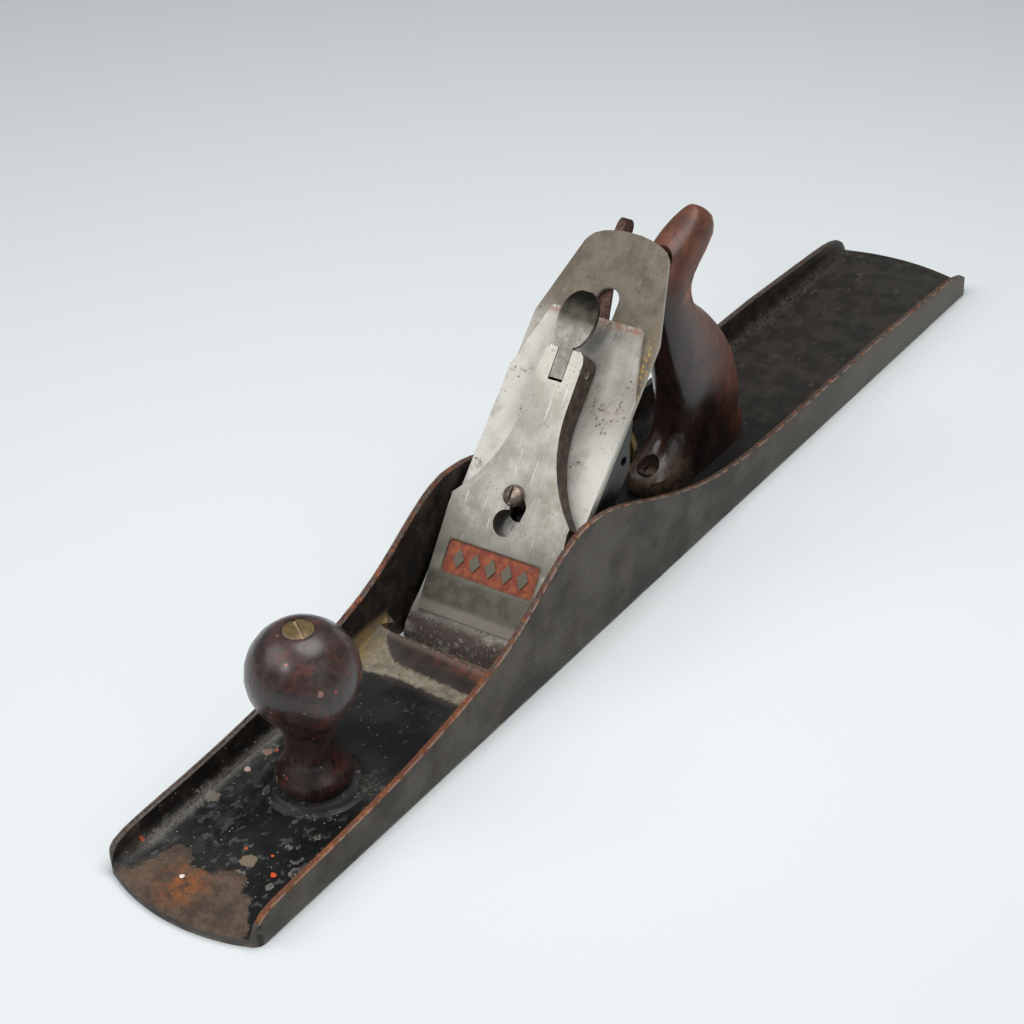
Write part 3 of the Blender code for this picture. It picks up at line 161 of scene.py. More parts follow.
class Graph:
    """The nodes of one material, made by short calls. Places are in millimetres of the model's frame."""

    def __init__(self, name):
        self.material = bpy.data.materials.new(name)
        self.material.use_nodes = True
        self.tree = self.material.node_tree
        self.shader = self.tree.nodes["Principled BSDF"]
        source = self.node("ShaderNodeTexCoord")
        self.place = self.vector("MULTIPLY", source.outputs["Object"], (1 / MM,) * 3)
        self.facing = source.outputs["Normal"]
        self.x, self.y, self.z = self.split(self.place)

    def split(self, vector):
        made = self.node("ShaderNodeSeparateXYZ")
        self.feed(made.inputs[0], vector)
        return made.outputs

    def blade(self, turn, at):
        """The place in the bed frame, turned by so many degrees about a point so far up the blade.

        Its parts are the distances up the blade, across it, and out of its upper face.
        """
        lean = math.radians(turn)
        up = (UP_BLADE * math.cos(lean) + Vector((0, 1, 0)) * math.sin(lean)).normalized()
        across = OUT_OF_BLADE.cross(up)
        local = self.vector("SUBTRACT", self.place, EDGE + UP_BLADE * at)
        made = self.node("ShaderNodeCombineXYZ")
        for socket, direction in zip(made.inputs, (up, across, OUT_OF_BLADE)):
            self.feed(socket, self.vector("DOT_PRODUCT", local, direction))
        return self.vector("ADD", made.outputs[0], (at, 0, 0))

    def node(self, kind, **settings):
        made = self.tree.nodes.new(kind)
        for name, value in settings.items():
            setattr(made, name, value)
        return made

    def feed(self, socket, value):
        if isinstance(value, bpy.types.NodeSocket):
            self.tree.links.new(value, socket)
        else:
            socket.default_value = value

    def math(self, operation, a, b=0.0, clamp=False):
        made = self.node("ShaderNodeMath", operation=operation, use_clamp=clamp)
        self.feed(made.inputs[0], a)
        self.feed(made.inputs[1], b)
        return made.outputs[0]

    def vector(self, operation, a, b):
        made = self.node("ShaderNodeVectorMath", operation=operation)
        self.feed(made.inputs[0], a)
        self.feed(made.inputs[1], b)
        return made.outputs["Value" if operation in ("DOT_PRODUCT", "DISTANCE") else "Vector"]

    def noise(self, size, detail=4.0, roughness=0.55, stretch=(1, 1, 1), warp=0.0, place=None, shift=0.0):
        """Fractal noise from 0 to 1, with features of about this size in millimetres."""
        scaled = self.vector("MULTIPLY", place or self.place, tuple(1 / (size * s) for s in stretch))
        if shift:
            scaled = self.vector("ADD", scaled, (shift, shift, shift))
        made = self.node("ShaderNodeTexNoise")
        self.feed(made.inputs["Vector"], scaled)
        made.inputs["Scale"].default_value = 1
        made.inputs["Detail"].default_value = detail
        made.inputs["Roughness"].default_value = roughness
        made.inputs["Distortion"].default_value = warp
        return made.outputs["Fac"]

    def cells(self, size, feature="F1", randomness=1.0, stretch=(1, 1, 1), place=None, shift=0.0):
        """Distance in a field of random cells of about this size in millimetres."""
        scaled = self.vector("MULTIPLY", place or self.place, tuple(1 / (size * s) for s in stretch))
        if shift:
            scaled = self.vector("ADD", scaled, (shift, shift, shift))
        made = self.node("ShaderNodeTexVoronoi", feature=feature)
        self.feed(made.inputs["Vector"], scaled)
        made.inputs["Scale"].default_value = 1
        made.inputs["Randomness"].default_value = randomness
        return made.outputs["Distance"]

    def rise(self, value, low, high):
        """0 below low, 1 above high and smooth between; the other way round if high is the lower."""
        made = self.node("ShaderNodeMapRange", interpolation_type="SMOOTHSTEP")
        self.feed(made.inputs["Value"], value)
        made.inputs["From Min"].default_value = min(low, high)
        made.inputs["From Max"].default_value = max(low, high)
        made.inputs["To Min"].default_value = 0.0 if low < high else 1.0
        made.inputs["To Max"].default_value = 1.0 if low < high else 0.0
        return made.outputs["Result"]

    def patches(self, size, detail, low, high, **settings):
        """Soft patches: where noise of this size rises from low to high."""
        return self.rise(self.noise(size, detail, **settings), low, high)

    def wobble(self, size, detail, reach, **settings):
        """Noise about 0 that spans this reach, to make an outline uneven."""
        about_zero = self.math("SUBTRACT", self.noise(size, detail, **settings), 0.5)
        return self.math("MULTIPLY", about_zero, reach)

    def both(self, *values):
        result = values[0]
        for value in values[1:]:
            result = self.math("MULTIPLY", result, value)
        return result

    def either(self, *values):
        result = values[0]
        for value in values[1:]:
            result = self.math("MAXIMUM", result, value)
        return result

    def blend(self, factor, a, b):
        """Colour a where factor is 0 and colour b where it is 1."""
        made = self.node("ShaderNodeMix", data_type="RGBA", clamp_factor=True)
        self.feed(made.inputs["Factor"], factor)
        self.feed(made.inputs["A"], a if isinstance(a, bpy.types.NodeSocket) else (*a, 1))
        self.feed(made.inputs["B"], b if isinstance(b, bpy.types.NodeSocket) else (*b, 1))
        return made.outputs["Result"]

    def mix(self, factor, a, b):
        """Number a where factor is 0 and number b where it is 1."""
        made = self.node("ShaderNodeMix", data_type="FLOAT", clamp_factor=True)
        self.feed(made.inputs["Factor"], factor)
        self.feed(made.inputs["A"], a)
        self.feed(made.inputs["B"], b)
        return made.outputs["Result"]

    def bump(self, height, depth, under=None):
        """A bump whose height of 1 stands this many millimetres proud."""
        made = self.node("ShaderNodeBump")
        made.inputs["Strength"].default_value = 1
        made.inputs["Distance"].default_value = depth * MM
        self.feed(made.inputs["Height"], height)
        if under is not None:
            self.feed(made.inputs["Normal"], under)
        return made.outputs["Normal"]

    def finish(self, colour, roughness, metallic=0.0, normal=None, **uniform):
        self.feed(self.shader.inputs["Base Color"], colour)
        self.feed(self.shader.inputs["Roughness"], roughness)
        self.feed(self.shader.inputs["Metallic"], metallic)
        if normal is not None:
            self.feed(self.shader.inputs["Normal"], normal)
        for name, value in uniform.items():
            self.shader.inputs[name.replace("_", " ")].default_value = value
        return self.material


def rust(g, shift=0.0):
    """Rust that runs from dark brown to orange."""
    broad = g.noise(11, 4, shift=shift + 3)
    fine = g.noise(1.1, 6, roughness=0.7, shift=shift + 5)
    warm = g.blend(g.rise(broad, 0.42, 0.62), tone(104, 66, 50), tone(158, 92, 54))
    return g.blend(g.rise(fine, 0.42, 0.62), tone(66, 44, 36), warm)


def spot(g, x, y, radius, ragged=0.35):
    """1 inside an uneven patch on the floor of the bed."""
    flat = g.vector("MULTIPLY", g.place, (1, 1, 0))
    away = g.vector("DISTANCE", flat, (x, y, 0))
    uneven = g.wobble(radius * 0.7, 3, radius * ragged * 4)
    return g.rise(g.math("ADD", away, uneven), radius, radius * 0.85)


def bed_outside(g, side, nz, cloud, fine):
    """Colour of the outside faces: dark ground iron with fine lines, stains, and rust below the rims."""
    lines = g.noise(0.8, 4, stretch=(30, 1, 1), shift=4)
    outside = g.blend(g.rise(cloud, 0.35, 0.65), tone(68, 64, 60), tone(93, 88, 81))
    outside = g.blend(g.both(g.rise(g.x, 0, 240), 0.75), outside, tone(112, 106, 99))
    outside = g.blend(g.both(g.rise(lines, 0.52, 0.75), 0.3), outside, tone(112, 107, 101))
    outside = g.blend(g.both(g.rise(fine, 0.52, 0.66), 0.3), outside, tone(56, 53, 51))
    stains = g.both(g.patches(17, 4, 0.56, 0.68, shift=9), 0.3)
    outside = g.blend(stains, outside, tone(82, 68, 58))
    sole_edge = g.both(g.rise(g.z, 2.2, 0.4), g.patches(6, 4, 0.40, 0.60, stretch=(3, 1, 1), shift=37))
    outside = g.blend(g.both(sole_edge, 0.6), outside, tone(132, 126, 118))
    flecks = g.rise(g.cells(7, shift=3), 0.09, 0.05)
    outside = g.blend(g.both(flecks, 0.35), outside, tone(126, 120, 113))
    under_rim = g.both(g.rise(side, CHEEK_OUT - 0.6, CHEEK_OUT - 0.2),
                       g.patches(4, 5, 0.44, 0.6, shift=28),
                       g.rise(g.x, 10, -60), g.rise(nz, 0.15, 0.4))
    outside = g.blend(g.both(under_rim, 0.5), outside, rust(g, 7))
    return outside


def bed_inside(g, ny, cloud):
    """Colour of the japanning, browner on the walls and toward the heel."""
    inside = g.blend(g.rise(cloud, 0.38, 0.62), tone(13, 13, 14), tone(27, 25, 24))
    heelward = g.rise(g.x, 60, 150)
    olive = g.blend(g.patches(9, 4, 0.4, 0.6, shift=7), tone(36, 32, 28), tone(50, 46, 39))
    inside = g.blend(heelward, inside, olive)
    wall = g.rise(g.math("ABSOLUTE", ny), 0.5, 0.85)
    brown = g.blend(g.patches(6, 5, 0.4, 0.66, shift=8), tone(28, 25, 23), tone(56, 46, 39))
    inside = g.blend(g.both(wall, 0.85), inside, brown)
    streaks = g.patches(4.5, 3, 0.62, 0.7, stretch=(2.2, 1, 1), warp=1.5, shift=11)
    inside = g.blend(g.both(streaks, 0.35), inside, tone(96, 92, 86))
    return inside


def toe_chips(g, inside):
    """Chips in the japanning of the toe, and a few bright ones.

    Gives the colour, and where the large chips are.
    """
    toe = g.both(g.rise(g.x, -176, -186), g.rise(g.z, 9, 7))
    cell = g.math("ADD", g.cells(7.5, randomness=0.9, stretch=(1.3, 1, 1), shift=1),
                  g.wobble(1.6, 5, 0.34, roughness=0.65, shift=38))
    chosen = g.patches(13, 2, 0.50, 0.56, shift=12)
    chip = g.both(g.rise(cell, 0.30, 0.24), chosen, toe)
    ring = g.both(chip, g.rise(cell, 0.17, 0.24))
    inside = g.blend(g.both(chip, 0.5), inside, tone(84, 82, 79))
    inside = g.blend(g.both(ring, 0.5), inside, tone(150, 143, 132))
    film = g.both(toe, g.rise(g.y, -4, 26), g.patches(6, 5, 0.44, 0.66, roughness=0.65, shift=33))
    inside = g.blend(g.both(film, 0.35), inside, tone(88, 88, 88))
    shards = g.both(g.rise(g.cells(5.2, stretch=(1.5, 1, 1), shift=34), 0.20, 0.15), toe,
                    g.patches(11, 2, 0.48, 0.55, shift=35), g.patches(1.6, 4, 0.40, 0.52, shift=36))
    inside = g.blend(g.both(shards, 0.7), inside, tone(104, 103, 100))
    flakes = g.both(g.patches(3.4, 6, 0.585, 0.605, roughness=0.6, stretch=(1.3, 1, 1), shift=39), toe)
    inside = g.blend(g.both(flakes, 0.6), inside, tone(82, 83, 82))
    peppered = g.both(g.rise(g.cells(3.0, shift=5), 0.11, 0.06), g.rise(g.x, -120, -190),
                      g.patches(8, 2, 0.42, 0.54, shift=14))
    inside = g.blend(peppered, inside, tone(178, 170, 160))
    return inside, chip


def toe_rust(g, inside, side, nz, fine):
    """The flaked rust patch at the toe, and single spots. Gives the colour, and where the patch is."""
    from_side = g.math("MAXIMUM", g.math("SUBTRACT", side, 18), 0)
    uneven = g.wobble(5, 5, 9, roughness=0.65, shift=15)
    edge = g.math("ADD", g.math("ADD", g.x, uneven), g.math("MULTIPLY", from_side, 1.1))
    patch = g.either(g.rise(edge, -255.0, -256.2), spot(g, -256, 17, 7, 0.3), spot(g, -256, -8, 7, 0.3))
    patch = g.both(patch, g.rise(side, 31.5, 29), g.rise(nz, 0.4, 0.7))
    patch_colour = g.blend(g.patches(7.0, 6, 0.36, 0.66, roughness=0.6, shift=16),
                           tone(70, 59, 51), tone(100, 82, 68))
    glow = g.rise(g.vector("DISTANCE", g.place, (-265, 5, 4)), 15, 3)
    glow = g.both(glow, g.patches(5, 5, 0.35, 0.65, shift=31))
    patch_colour = g.blend(glow, patch_colour, tone(140, 84, 48))
    patch_colour = g.blend(g.both(g.rise(fine, 0.50, 0.66), 0.6), patch_colour, tone(52, 43, 38))
    moss = g.both(spot(g, -267, 28.5, 3.5, 0.5), g.rise(fine, 0.4, 0.55))
    patch_colour = g.blend(moss, patch_colour, tone(42, 50, 42))
    inside = g.blend(patch, inside, patch_colour)
    for x, y, radius, colour in TOE_SPOTS:
        inside = g.blend(spot(g, x, y, radius), inside, tone(*colour))
    return inside, patch


def floor_dust(g, inside):
    """Grey dust along the foot of the far wall, and round the knob's ring."""
    far_foot = g.both(g.rise(g.y, 26.5, 29.5), g.rise(g.z, 7.0, 5.6), g.rise(g.x, -266, -254),
                      g.rise(g.x, -172, -184), g.patches(1.2, 6, 0.30, 0.62, roughness=0.7, shift=17))
    inside = g.blend(g.both(far_foot, 0.7), inside, tone(122, 117, 107))
    heel_foot = g.both(g.rise(g.y, 26.5, 29.5), g.rise(g.z, 8.0, 6.0), g.rise(g.x, 120, 140),
                       g.patches(1.6, 6, 0.42, 0.66, roughness=0.7, shift=18))
    inside = g.blend(g.both(heel_foot, 0.45), inside, tone(104, 98, 88))
    by_ring = g.both(g.rise(g.vector("DISTANCE", g.place, (-188, -19, 4)), 9, 3),
                     g.patches(1.0, 6, 0.42, 0.66, roughness=0.7, shift=19))
    inside = g.blend(g.both(by_ring, 0.6), inside, tone(106, 104, 96))
    return inside


def mouth_rib(g, inside, side, cloud):
    """The cross rib before the mouth, with tan dust at its foot and in its far corner, and a painted
    highlight along its ridge.

    Gives the colour, and where the crumbs at the mouth and the tan dust are.
    """
    on_rib = g.both(g.rise(g.x, RIB_FOOT, RIB_FOOT + 5), g.rise(g.x, MOUTH, MOUTH - 3),
                  g.rise(side, CHEEK_IN - 0.3, CHEEK_IN - 2.3))
    mauve = g.blend(g.rise(cloud, 0.36, 0.64), tone(42, 35, 31), tone(62, 52, 46))
    inside = g.blend(on_rib, inside, mauve)
    near_end = g.both(on_rib, g.rise(g.x, RIDGE - 7, RIDGE - 2), g.rise(g.y, 20, -16),
                      g.patches(4, 6, 0.34, 0.58, roughness=0.65, shift=20))
    inside = g.blend(g.both(near_end, 0.7), inside, tone(122, 68, 50))
    # Painted highlight: a pale mauve strip along the top of the ridge.
    painted_ridge_highlight = g.both(g.rise(g.x, RIDGE - 3.5, RIDGE - 0.5), on_rib)
    inside = g.blend(g.both(painted_ridge_highlight, 0.55), inside, tone(112, 98, 90))
    crumbs = g.blend(g.patches(1.7, 5, 0.50, 0.64, roughness=0.7, shift=21), tone(46, 33, 28),
                     g.blend(g.patches(4, 3, 0.42, 0.58, shift=22),
                             tone(134, 84, 62), tone(196, 150, 130)))
    by_mouth = g.both(g.rise(g.x, RIDGE - 0.3, RIDGE + 0.4), on_rib, g.rise(side, 31.0, 29.5),
                      g.patches(3.2, 4, 0.30, 0.42, shift=23))
    inside = g.blend(by_mouth, inside, crumbs)
    corner = g.math("MAXIMUM", g.math("SUBTRACT", g.y, 14), 0)
    ragged = g.wobble(2, 6, 5, roughness=0.75, shift=24)
    climb = g.math("MULTIPLY", g.math("POWER", corner, 2), 0.045)
    reach = g.math("SUBTRACT", g.math("ADD", g.x, ragged), climb)
    foot = g.math("ADD", g.math("ADD", g.x, ragged), g.math("MULTIPLY", corner, 0.25))
    tan = g.both(g.rise(foot, RIB_FOOT + 4, RIB_FOOT + 5.5),
                 g.rise(reach, RIB_FOOT + 11.5, RIB_FOOT + 9.5), g.rise(g.z, 18, 13))
    corner_tan = g.rise(corner, 10, 18)
    tan_colour = g.blend(corner_tan, tone(150, 142, 124), tone(146, 122, 82))
    tan_colour = g.blend(g.patches(6, 4, 0.4, 0.66, shift=25), tan_colour, tone(118, 110, 94))
    grains = g.both(g.patches(0.8, 5, 0.52, 0.64, roughness=0.7, shift=32), 0.6)
    tan_colour = g.blend(grains, tan_colour, tone(72, 62, 50))
    inside = g.blend(g.both(tan, 0.9), inside, tan_colour)
    return inside, by_mouth, tan


def wall_rims(g, side, nz, fine):
    """The rims of the walls, rustiest on the near wall and toward the toe.

    Gives their colour, where they are, and where they are rusty.
    """
    near = g.rise(g.y, 2, -2)
    toeward = g.rise(g.x, -95, -150)
    hump = g.both(g.rise(g.x, -180, -150), g.rise(g.x, 0, -40))
    rim = g.both(g.rise(nz, 0.2, 0.5), g.rise(side, CHEEK_IN - 0.05, CHEEK_IN + 0.3),
                 g.rise(g.z, 4.7, 5.4))
    amount = g.either(g.both(near, toeward, 0.95), g.both(hump, 0.5), g.both(near, 0.45), 0.2)
    worn = g.blend(g.rise(fine, 0.4, 0.6), tone(52, 45, 41), tone(92, 80, 72))
    break_up = g.rise(g.math("ADD", g.noise(3.4, 5, roughness=0.65, shift=26),
                             g.math("MULTIPLY", amount, 0.55)), 0.70, 0.86)
    bright = g.blend(g.both(near, toeward, 0.4), rust(g), tone(128, 78, 52))
    rim_colour = g.blend(break_up, worn, bright)
    shine = g.both(g.rise(side, CHEEK_OUT - 1.3, CHEEK_OUT - 0.6), g.patches(5, 4, 0.4, 0.55, shift=27))
    rim_colour = g.blend(g.both(shine, 0.6), rim_colour, tone(150, 130, 116))
    return rim_colour, rim, break_up


def bed_finish():
    """Black japanning inside, dark ground iron outside, rust on the rims, dust in the corners."""
    g = Graph("bed_cast_iron")
    side = g.math("ABSOLUTE", g.y)
    nx, ny, nz = g.split(g.facing)
    cloud = g.noise(22, 5, shift=1)
    fine = g.noise(1.0, 6, roughness=0.65, shift=2)
    grit = g.noise(0.45, 4, roughness=0.7, shift=6)
    outside = bed_outside(g, side, nz, cloud, fine)
    inside, chip = toe_chips(g, bed_inside(g, ny, cloud))
    inside, patch = toe_rust(g, inside, side, nz, fine)
    inside = floor_dust(g, inside)
    inside, by_mouth, tan = mouth_rib(g, inside, side, cloud)
    rim_colour, rim, break_up = wall_rims(g, side, nz, fine)

    ends = g.both(g.rise(g.math("ABSOLUTE", nx), 0.5, 0.8), g.rise(g.math("ABSOLUTE", g.x), 268, 270))
    is_outside = g.either(g.rise(side, CHEEK_OUT - 0.4, CHEEK_OUT - 0.1), g.rise(nz, -0.3, -0.6), ends)
    colour = g.blend(rim, inside, rim_colour)
    colour = g.blend(is_outside, colour, outside)
    rusty = g.either(patch, g.both(rim, break_up), by_mouth, tan)
    rough = g.mix(is_outside, g.mix(g.rise(cloud, 0.4, 0.6), 0.32, 0.5), g.mix(fine, 0.42, 0.62))
    rough = g.mix(rusty, rough, 0.88)
    metal = g.both(is_outside, g.math("SUBTRACT", 1.0, rusty), 0.55)
    relief = g.math("ADD", g.both(grit, g.mix(rusty, 0.25, 1.0)), g.both(fine, 0.6))
    normal = g.bump(relief, 0.10, g.bump(g.math("ADD", patch, g.both(chip, -0.6)), 0.25))
    return g.finish(colour, rough, metal, normal, Specular_IOR_Level=0.3)


def japanning(name):
    """Black japanning, dusty and worn brown."""
    g = Graph(name)
    cloud = g.noise(6, 5)
    fine = g.noise(0.9, 5, shift=3)
    colour = g.blend(g.rise(cloud, 0.4, 0.65), tone(22, 21, 21), tone(48, 41, 37))
    colour = g.blend(g.both(g.rise(fine, 0.56, 0.7), 0.6), colour, tone(84, 66, 54))
    return g.finish(colour, g.mix(cloud, 0.3, 0.6), 0.0, g.bump(fine, 0.06))


def old_steel(name, light, dark, brown=0.4, roughness=0.42):
    """Small steel and brass pieces: clouded, scratched and browned in patches."""
    g = Graph(name)
    cloud = g.noise(3.0, 5, shift=1)
    fine = g.noise(0.5, 5, roughness=0.7, shift=2)
    colour = g.blend(g.rise(cloud, 0.38, 0.64), tone(*light), tone(*dark))
    stain = g.patches(1.7, 5, 0.5, 0.64, shift=4)
    colour = g.blend(g.both(stain, brown), colour, tone(86, 58, 42))
    pits = g.rise(g.cells(1.4, shift=5), 0.22, 0.1)
    colour = g.blend(g.both(pits, 0.5), colour, tuple(c * 0.4 for c in tone(*dark)))
    rough = g.mix(g.rise(fine, 0.3, 0.7), roughness - 0.08, roughness + 0.18)
    metal = g.mix(stain, 0.9, 0.5)
    return g.finish(colour, rough, metal, g.bump(g.math("SUBTRACT", fine, g.both(pits, 0.6)), 0.05))


def cut_edges(g):
    """1 on the edges of a flat iron, 0 on its two faces."""
    outward = g.vector("DOT_PRODUCT", g.facing, tuple(OUT_OF_BLADE))
    return g.rise(g.math("ABSOLUTE", outward), 0.6, 0.3)


def cutting_iron_finish():
    """Tan grey steel, mottled all over with fine speckles of old rust, with a painted reflection on its
    far side.
    """
    g = Graph("cutting_iron_steel")
    place = g.blade(*IRONS_ASKEW)
    up, across = g.split(place)[:2]
    cloud = g.noise(9, 5, place=place, shift=1)
    speckle = g.noise(0.9, 5, roughness=0.75, place=place, shift=2)
    brush = g.noise(0.5, 4, stretch=(22, 1, 1), place=place, shift=3)
    colour = g.blend(g.rise(cloud, 0.36, 0.66), tone(114, 105, 92), tone(92, 83, 71))
    colour = g.blend(g.both(g.rise(brush, 0.42, 0.72), 0.3), colour, tone(142, 134, 121))
    # Painted reflection: near white over the far side of the lower part.
    painted_far_reflection = g.both(g.rise(across, 12, 26), g.rise(up, 158, 140), g.rise(cloud, 0.30, 0.52))
    colour = g.blend(g.both(painted_far_reflection, 0.7), colour, tone(198, 195, 188))
    colour = g.blend(g.both(g.rise(speckle, 0.50, 0.66), 0.65), colour, tone(96, 86, 72))
    dots = g.both(g.rise(g.cells(2.6, place=place, shift=4), 0.26, 0.12),
                  g.patches(6, 3, 0.5, 0.6, place=place))
    colour = g.blend(g.both(dots, 0.7), colour, tone(74, 60, 48))
    green = g.both(g.patches(7, 4, 0.55, 0.68, place=place, shift=6), 0.4)
    colour = g.blend(green, colour, tone(122, 122, 100))
    by_edge = g.both(g.rise(across, -23, -28), g.rise(up, 100, 122), g.rise(up, 158, 140),
                     g.patches(2, 5, 0.5, 0.62, place=place, shift=7))
    colour = g.blend(g.both(by_edge, 0.8), colour, tone(176, 142, 70))
    low_rust = g.both(g.rise(up, 22, 8), g.patches(3, 5, 0.45, 0.6, place=place, shift=8))
    colour = g.blend(g.both(low_rust, 0.7), colour, tone(150, 100, 78))
    edge_on = cut_edges(g)
    colour = g.blend(g.both(edge_on, 0.5), colour, tone(206, 202, 192))
    rough = g.mix(g.rise(speckle, 0.4, 0.7), 0.52, 0.72)
    metal = g.mix(g.rise(speckle, 0.5, 0.66), 0.5, 0.2)
    return g.finish(colour, rough, metal, g.bump(g.math("ADD", speckle, g.both(dots, -0.8)), 0.045))


def cap_iron_finish():
    """Brighter grey steel with dark pits, rust along its top edge and faint lengthwise brushing, darker
    toward the cutting edge, with a painted reflection on its lower part and far side.
    """
    g = Graph("cap_iron_steel")
    place = g.blade(*IRONS_ASKEW)
    up, across = g.split(place)[:2]
    cloud = g.noise(12, 5, place=place, shift=2)
    brush = g.noise(0.5, 4, stretch=(26, 1, 1), place=place, shift=3)
    fine = g.noise(0.6, 5, roughness=0.7, place=place, shift=4)
    colour = g.blend(g.rise(cloud, 0.38, 0.66), tone(166, 163, 156), tone(136, 132, 124))
    colour = g.blend(g.both(g.rise(brush, 0.45, 0.72), 0.4), colour, tone(188, 186, 180))
    colour = g.blend(g.both(g.rise(fine, 0.54, 0.68), 0.4), colour, tone(120, 112, 102))
    pool = g.patches(20, 3, 0.46, 0.62, stretch=(2.2, 1, 1), place=place, shift=17)
    colour = g.blend(g.both(pool, 0.4), colour, tone(132, 127, 120))
    # Painted reflection: lighter over the lower part and along the far side.
    bright = g.either(g.both(g.rise(up, 120, 90), 0.75), g.both(g.rise(across, 12, 26), 0.8))
    colour = g.blend(g.both(bright, g.rise(cloud, 0.22, 0.50)), colour, tone(204, 201, 194))
    groups = g.patches(14, 4, 0.50, 0.60, place=place, shift=5)
    pits = g.both(g.rise(g.cells(2.1, place=place, shift=6), 0.32, 0.16), groups)
    colour = g.blend(g.both(pits, 0.8), colour, tone(70, 60, 52))
    stain = g.both(groups, g.patches(3, 5, 0.48, 0.62, roughness=0.7, place=place, shift=7))
    colour = g.blend(g.both(stain, 0.5), colour, tone(138, 114, 96))
    top = g.both(g.rise(up, 146, 150.5), g.patches(1.4, 5, 0.40, 0.56, place=place, shift=8))
    colour = g.blend(g.both(top, 0.8), colour, tone(136, 90, 62))
    # Darker toward the cutting edge.
    front = g.both(g.rise(up, 26, 12), 0.75)
    darker_front = g.blend(g.rise(cloud, 0.4, 0.6), tone(140, 130, 120), tone(106, 96, 88))
    colour = g.blend(front, colour, darker_front)
    crust = g.both(g.rise(up, 15, 10), g.patches(1.8, 5, 0.36, 0.48, roughness=0.7, place=place, shift=9),
                   g.patches(6, 4, 0.36, 0.50, roughness=0.6, stretch=(1, 2, 1), place=place, shift=20))
    crumb = g.blend(g.patches(1.2, 6, 0.54, 0.70, roughness=0.75, place=place, shift=16),
                    tone(54, 41, 35),
                    g.blend(g.patches(3, 3, 0.46, 0.62, place=place, shift=10), tone(122, 78, 60),
                            tone(192, 156, 140)))
    colour = g.blend(g.both(crust, 0.9), colour, crumb)
    edge_on = cut_edges(g)
    colour = g.blend(g.both(edge_on, g.rise(up, 40, 60), 0.6), colour, tone(226, 223, 216))
    rough = g.mix(g.rise(fine, 0.35, 0.7), 0.44, 0.62)
    rough = g.mix(g.either(crust, g.both(pits, 0.6)), rough, 0.85)
    metal = g.mix(g.either(crust, pits, top), 0.6, 0.1)
    relief = g.math("SUBTRACT", g.both(fine, 0.5), pits)
    return g.finish(colour, rough, metal, g.bump(relief, 0.06, g.bump(crust, 0.3)))


def panel_paint(g, place, up, across, out):
    """Old red paint in the sunk panel of the lever cap, below the face and inside its outline.

    Gives its colour, and where there is paint, a smear of it, and bare metal on the raised lozenges.
    """
    face = g.math("ADD", g.math("MULTIPLY", g.math("SUBTRACT", up, FACE_FROM), FACE_SLOPE), FACE_OUT)
    sunk = g.math("SUBTRACT", face, out)
    middle = g.math("ABSOLUTE", g.math("SUBTRACT", across, PANEL_MIDDLE))
    inside = g.both(g.rise(up, PANEL_LOW, PANEL_LOW + 0.3), g.rise(up, PANEL_HIGH, PANEL_HIGH - 0.3),
                    g.rise(middle, PANEL_HALF, PANEL_HALF - 0.3))
    chipped = g.noise(1.5, 5, roughness=0.7, place=place, shift=13)
    painted = g.both(inside, g.rise(sunk, 0.20, 0.34), g.rise(chipped, 0.34, 0.42))
    smear = g.both(inside, g.rise(chipped, 0.56, 0.64), 0.6)
    raised = g.both(inside, g.rise(sunk, 0.2, 0.1))
    red = g.blend(g.patches(4, 5, 0.38, 0.64, place=place, shift=14), tone(134, 62, 44),
                  tone(162, 88, 56))
    brown_specks = g.both(g.patches(1.1, 5, 0.54, 0.66, place=place, shift=15), 0.6)
    red = g.blend(brown_specks, red, tone(104, 60, 46))
    frame_dirt = g.both(g.either(g.rise(middle, 20.0, 22.6), g.rise(up, 34, 32), g.rise(up, 44.6, 46.4)),
                        g.patches(1.6, 5, 0.32, 0.52, roughness=0.65, place=place, shift=22))
    red = g.blend(g.both(frame_dirt, 0.75), red, tone(88, 60, 46))
    return red, painted, smear, raised


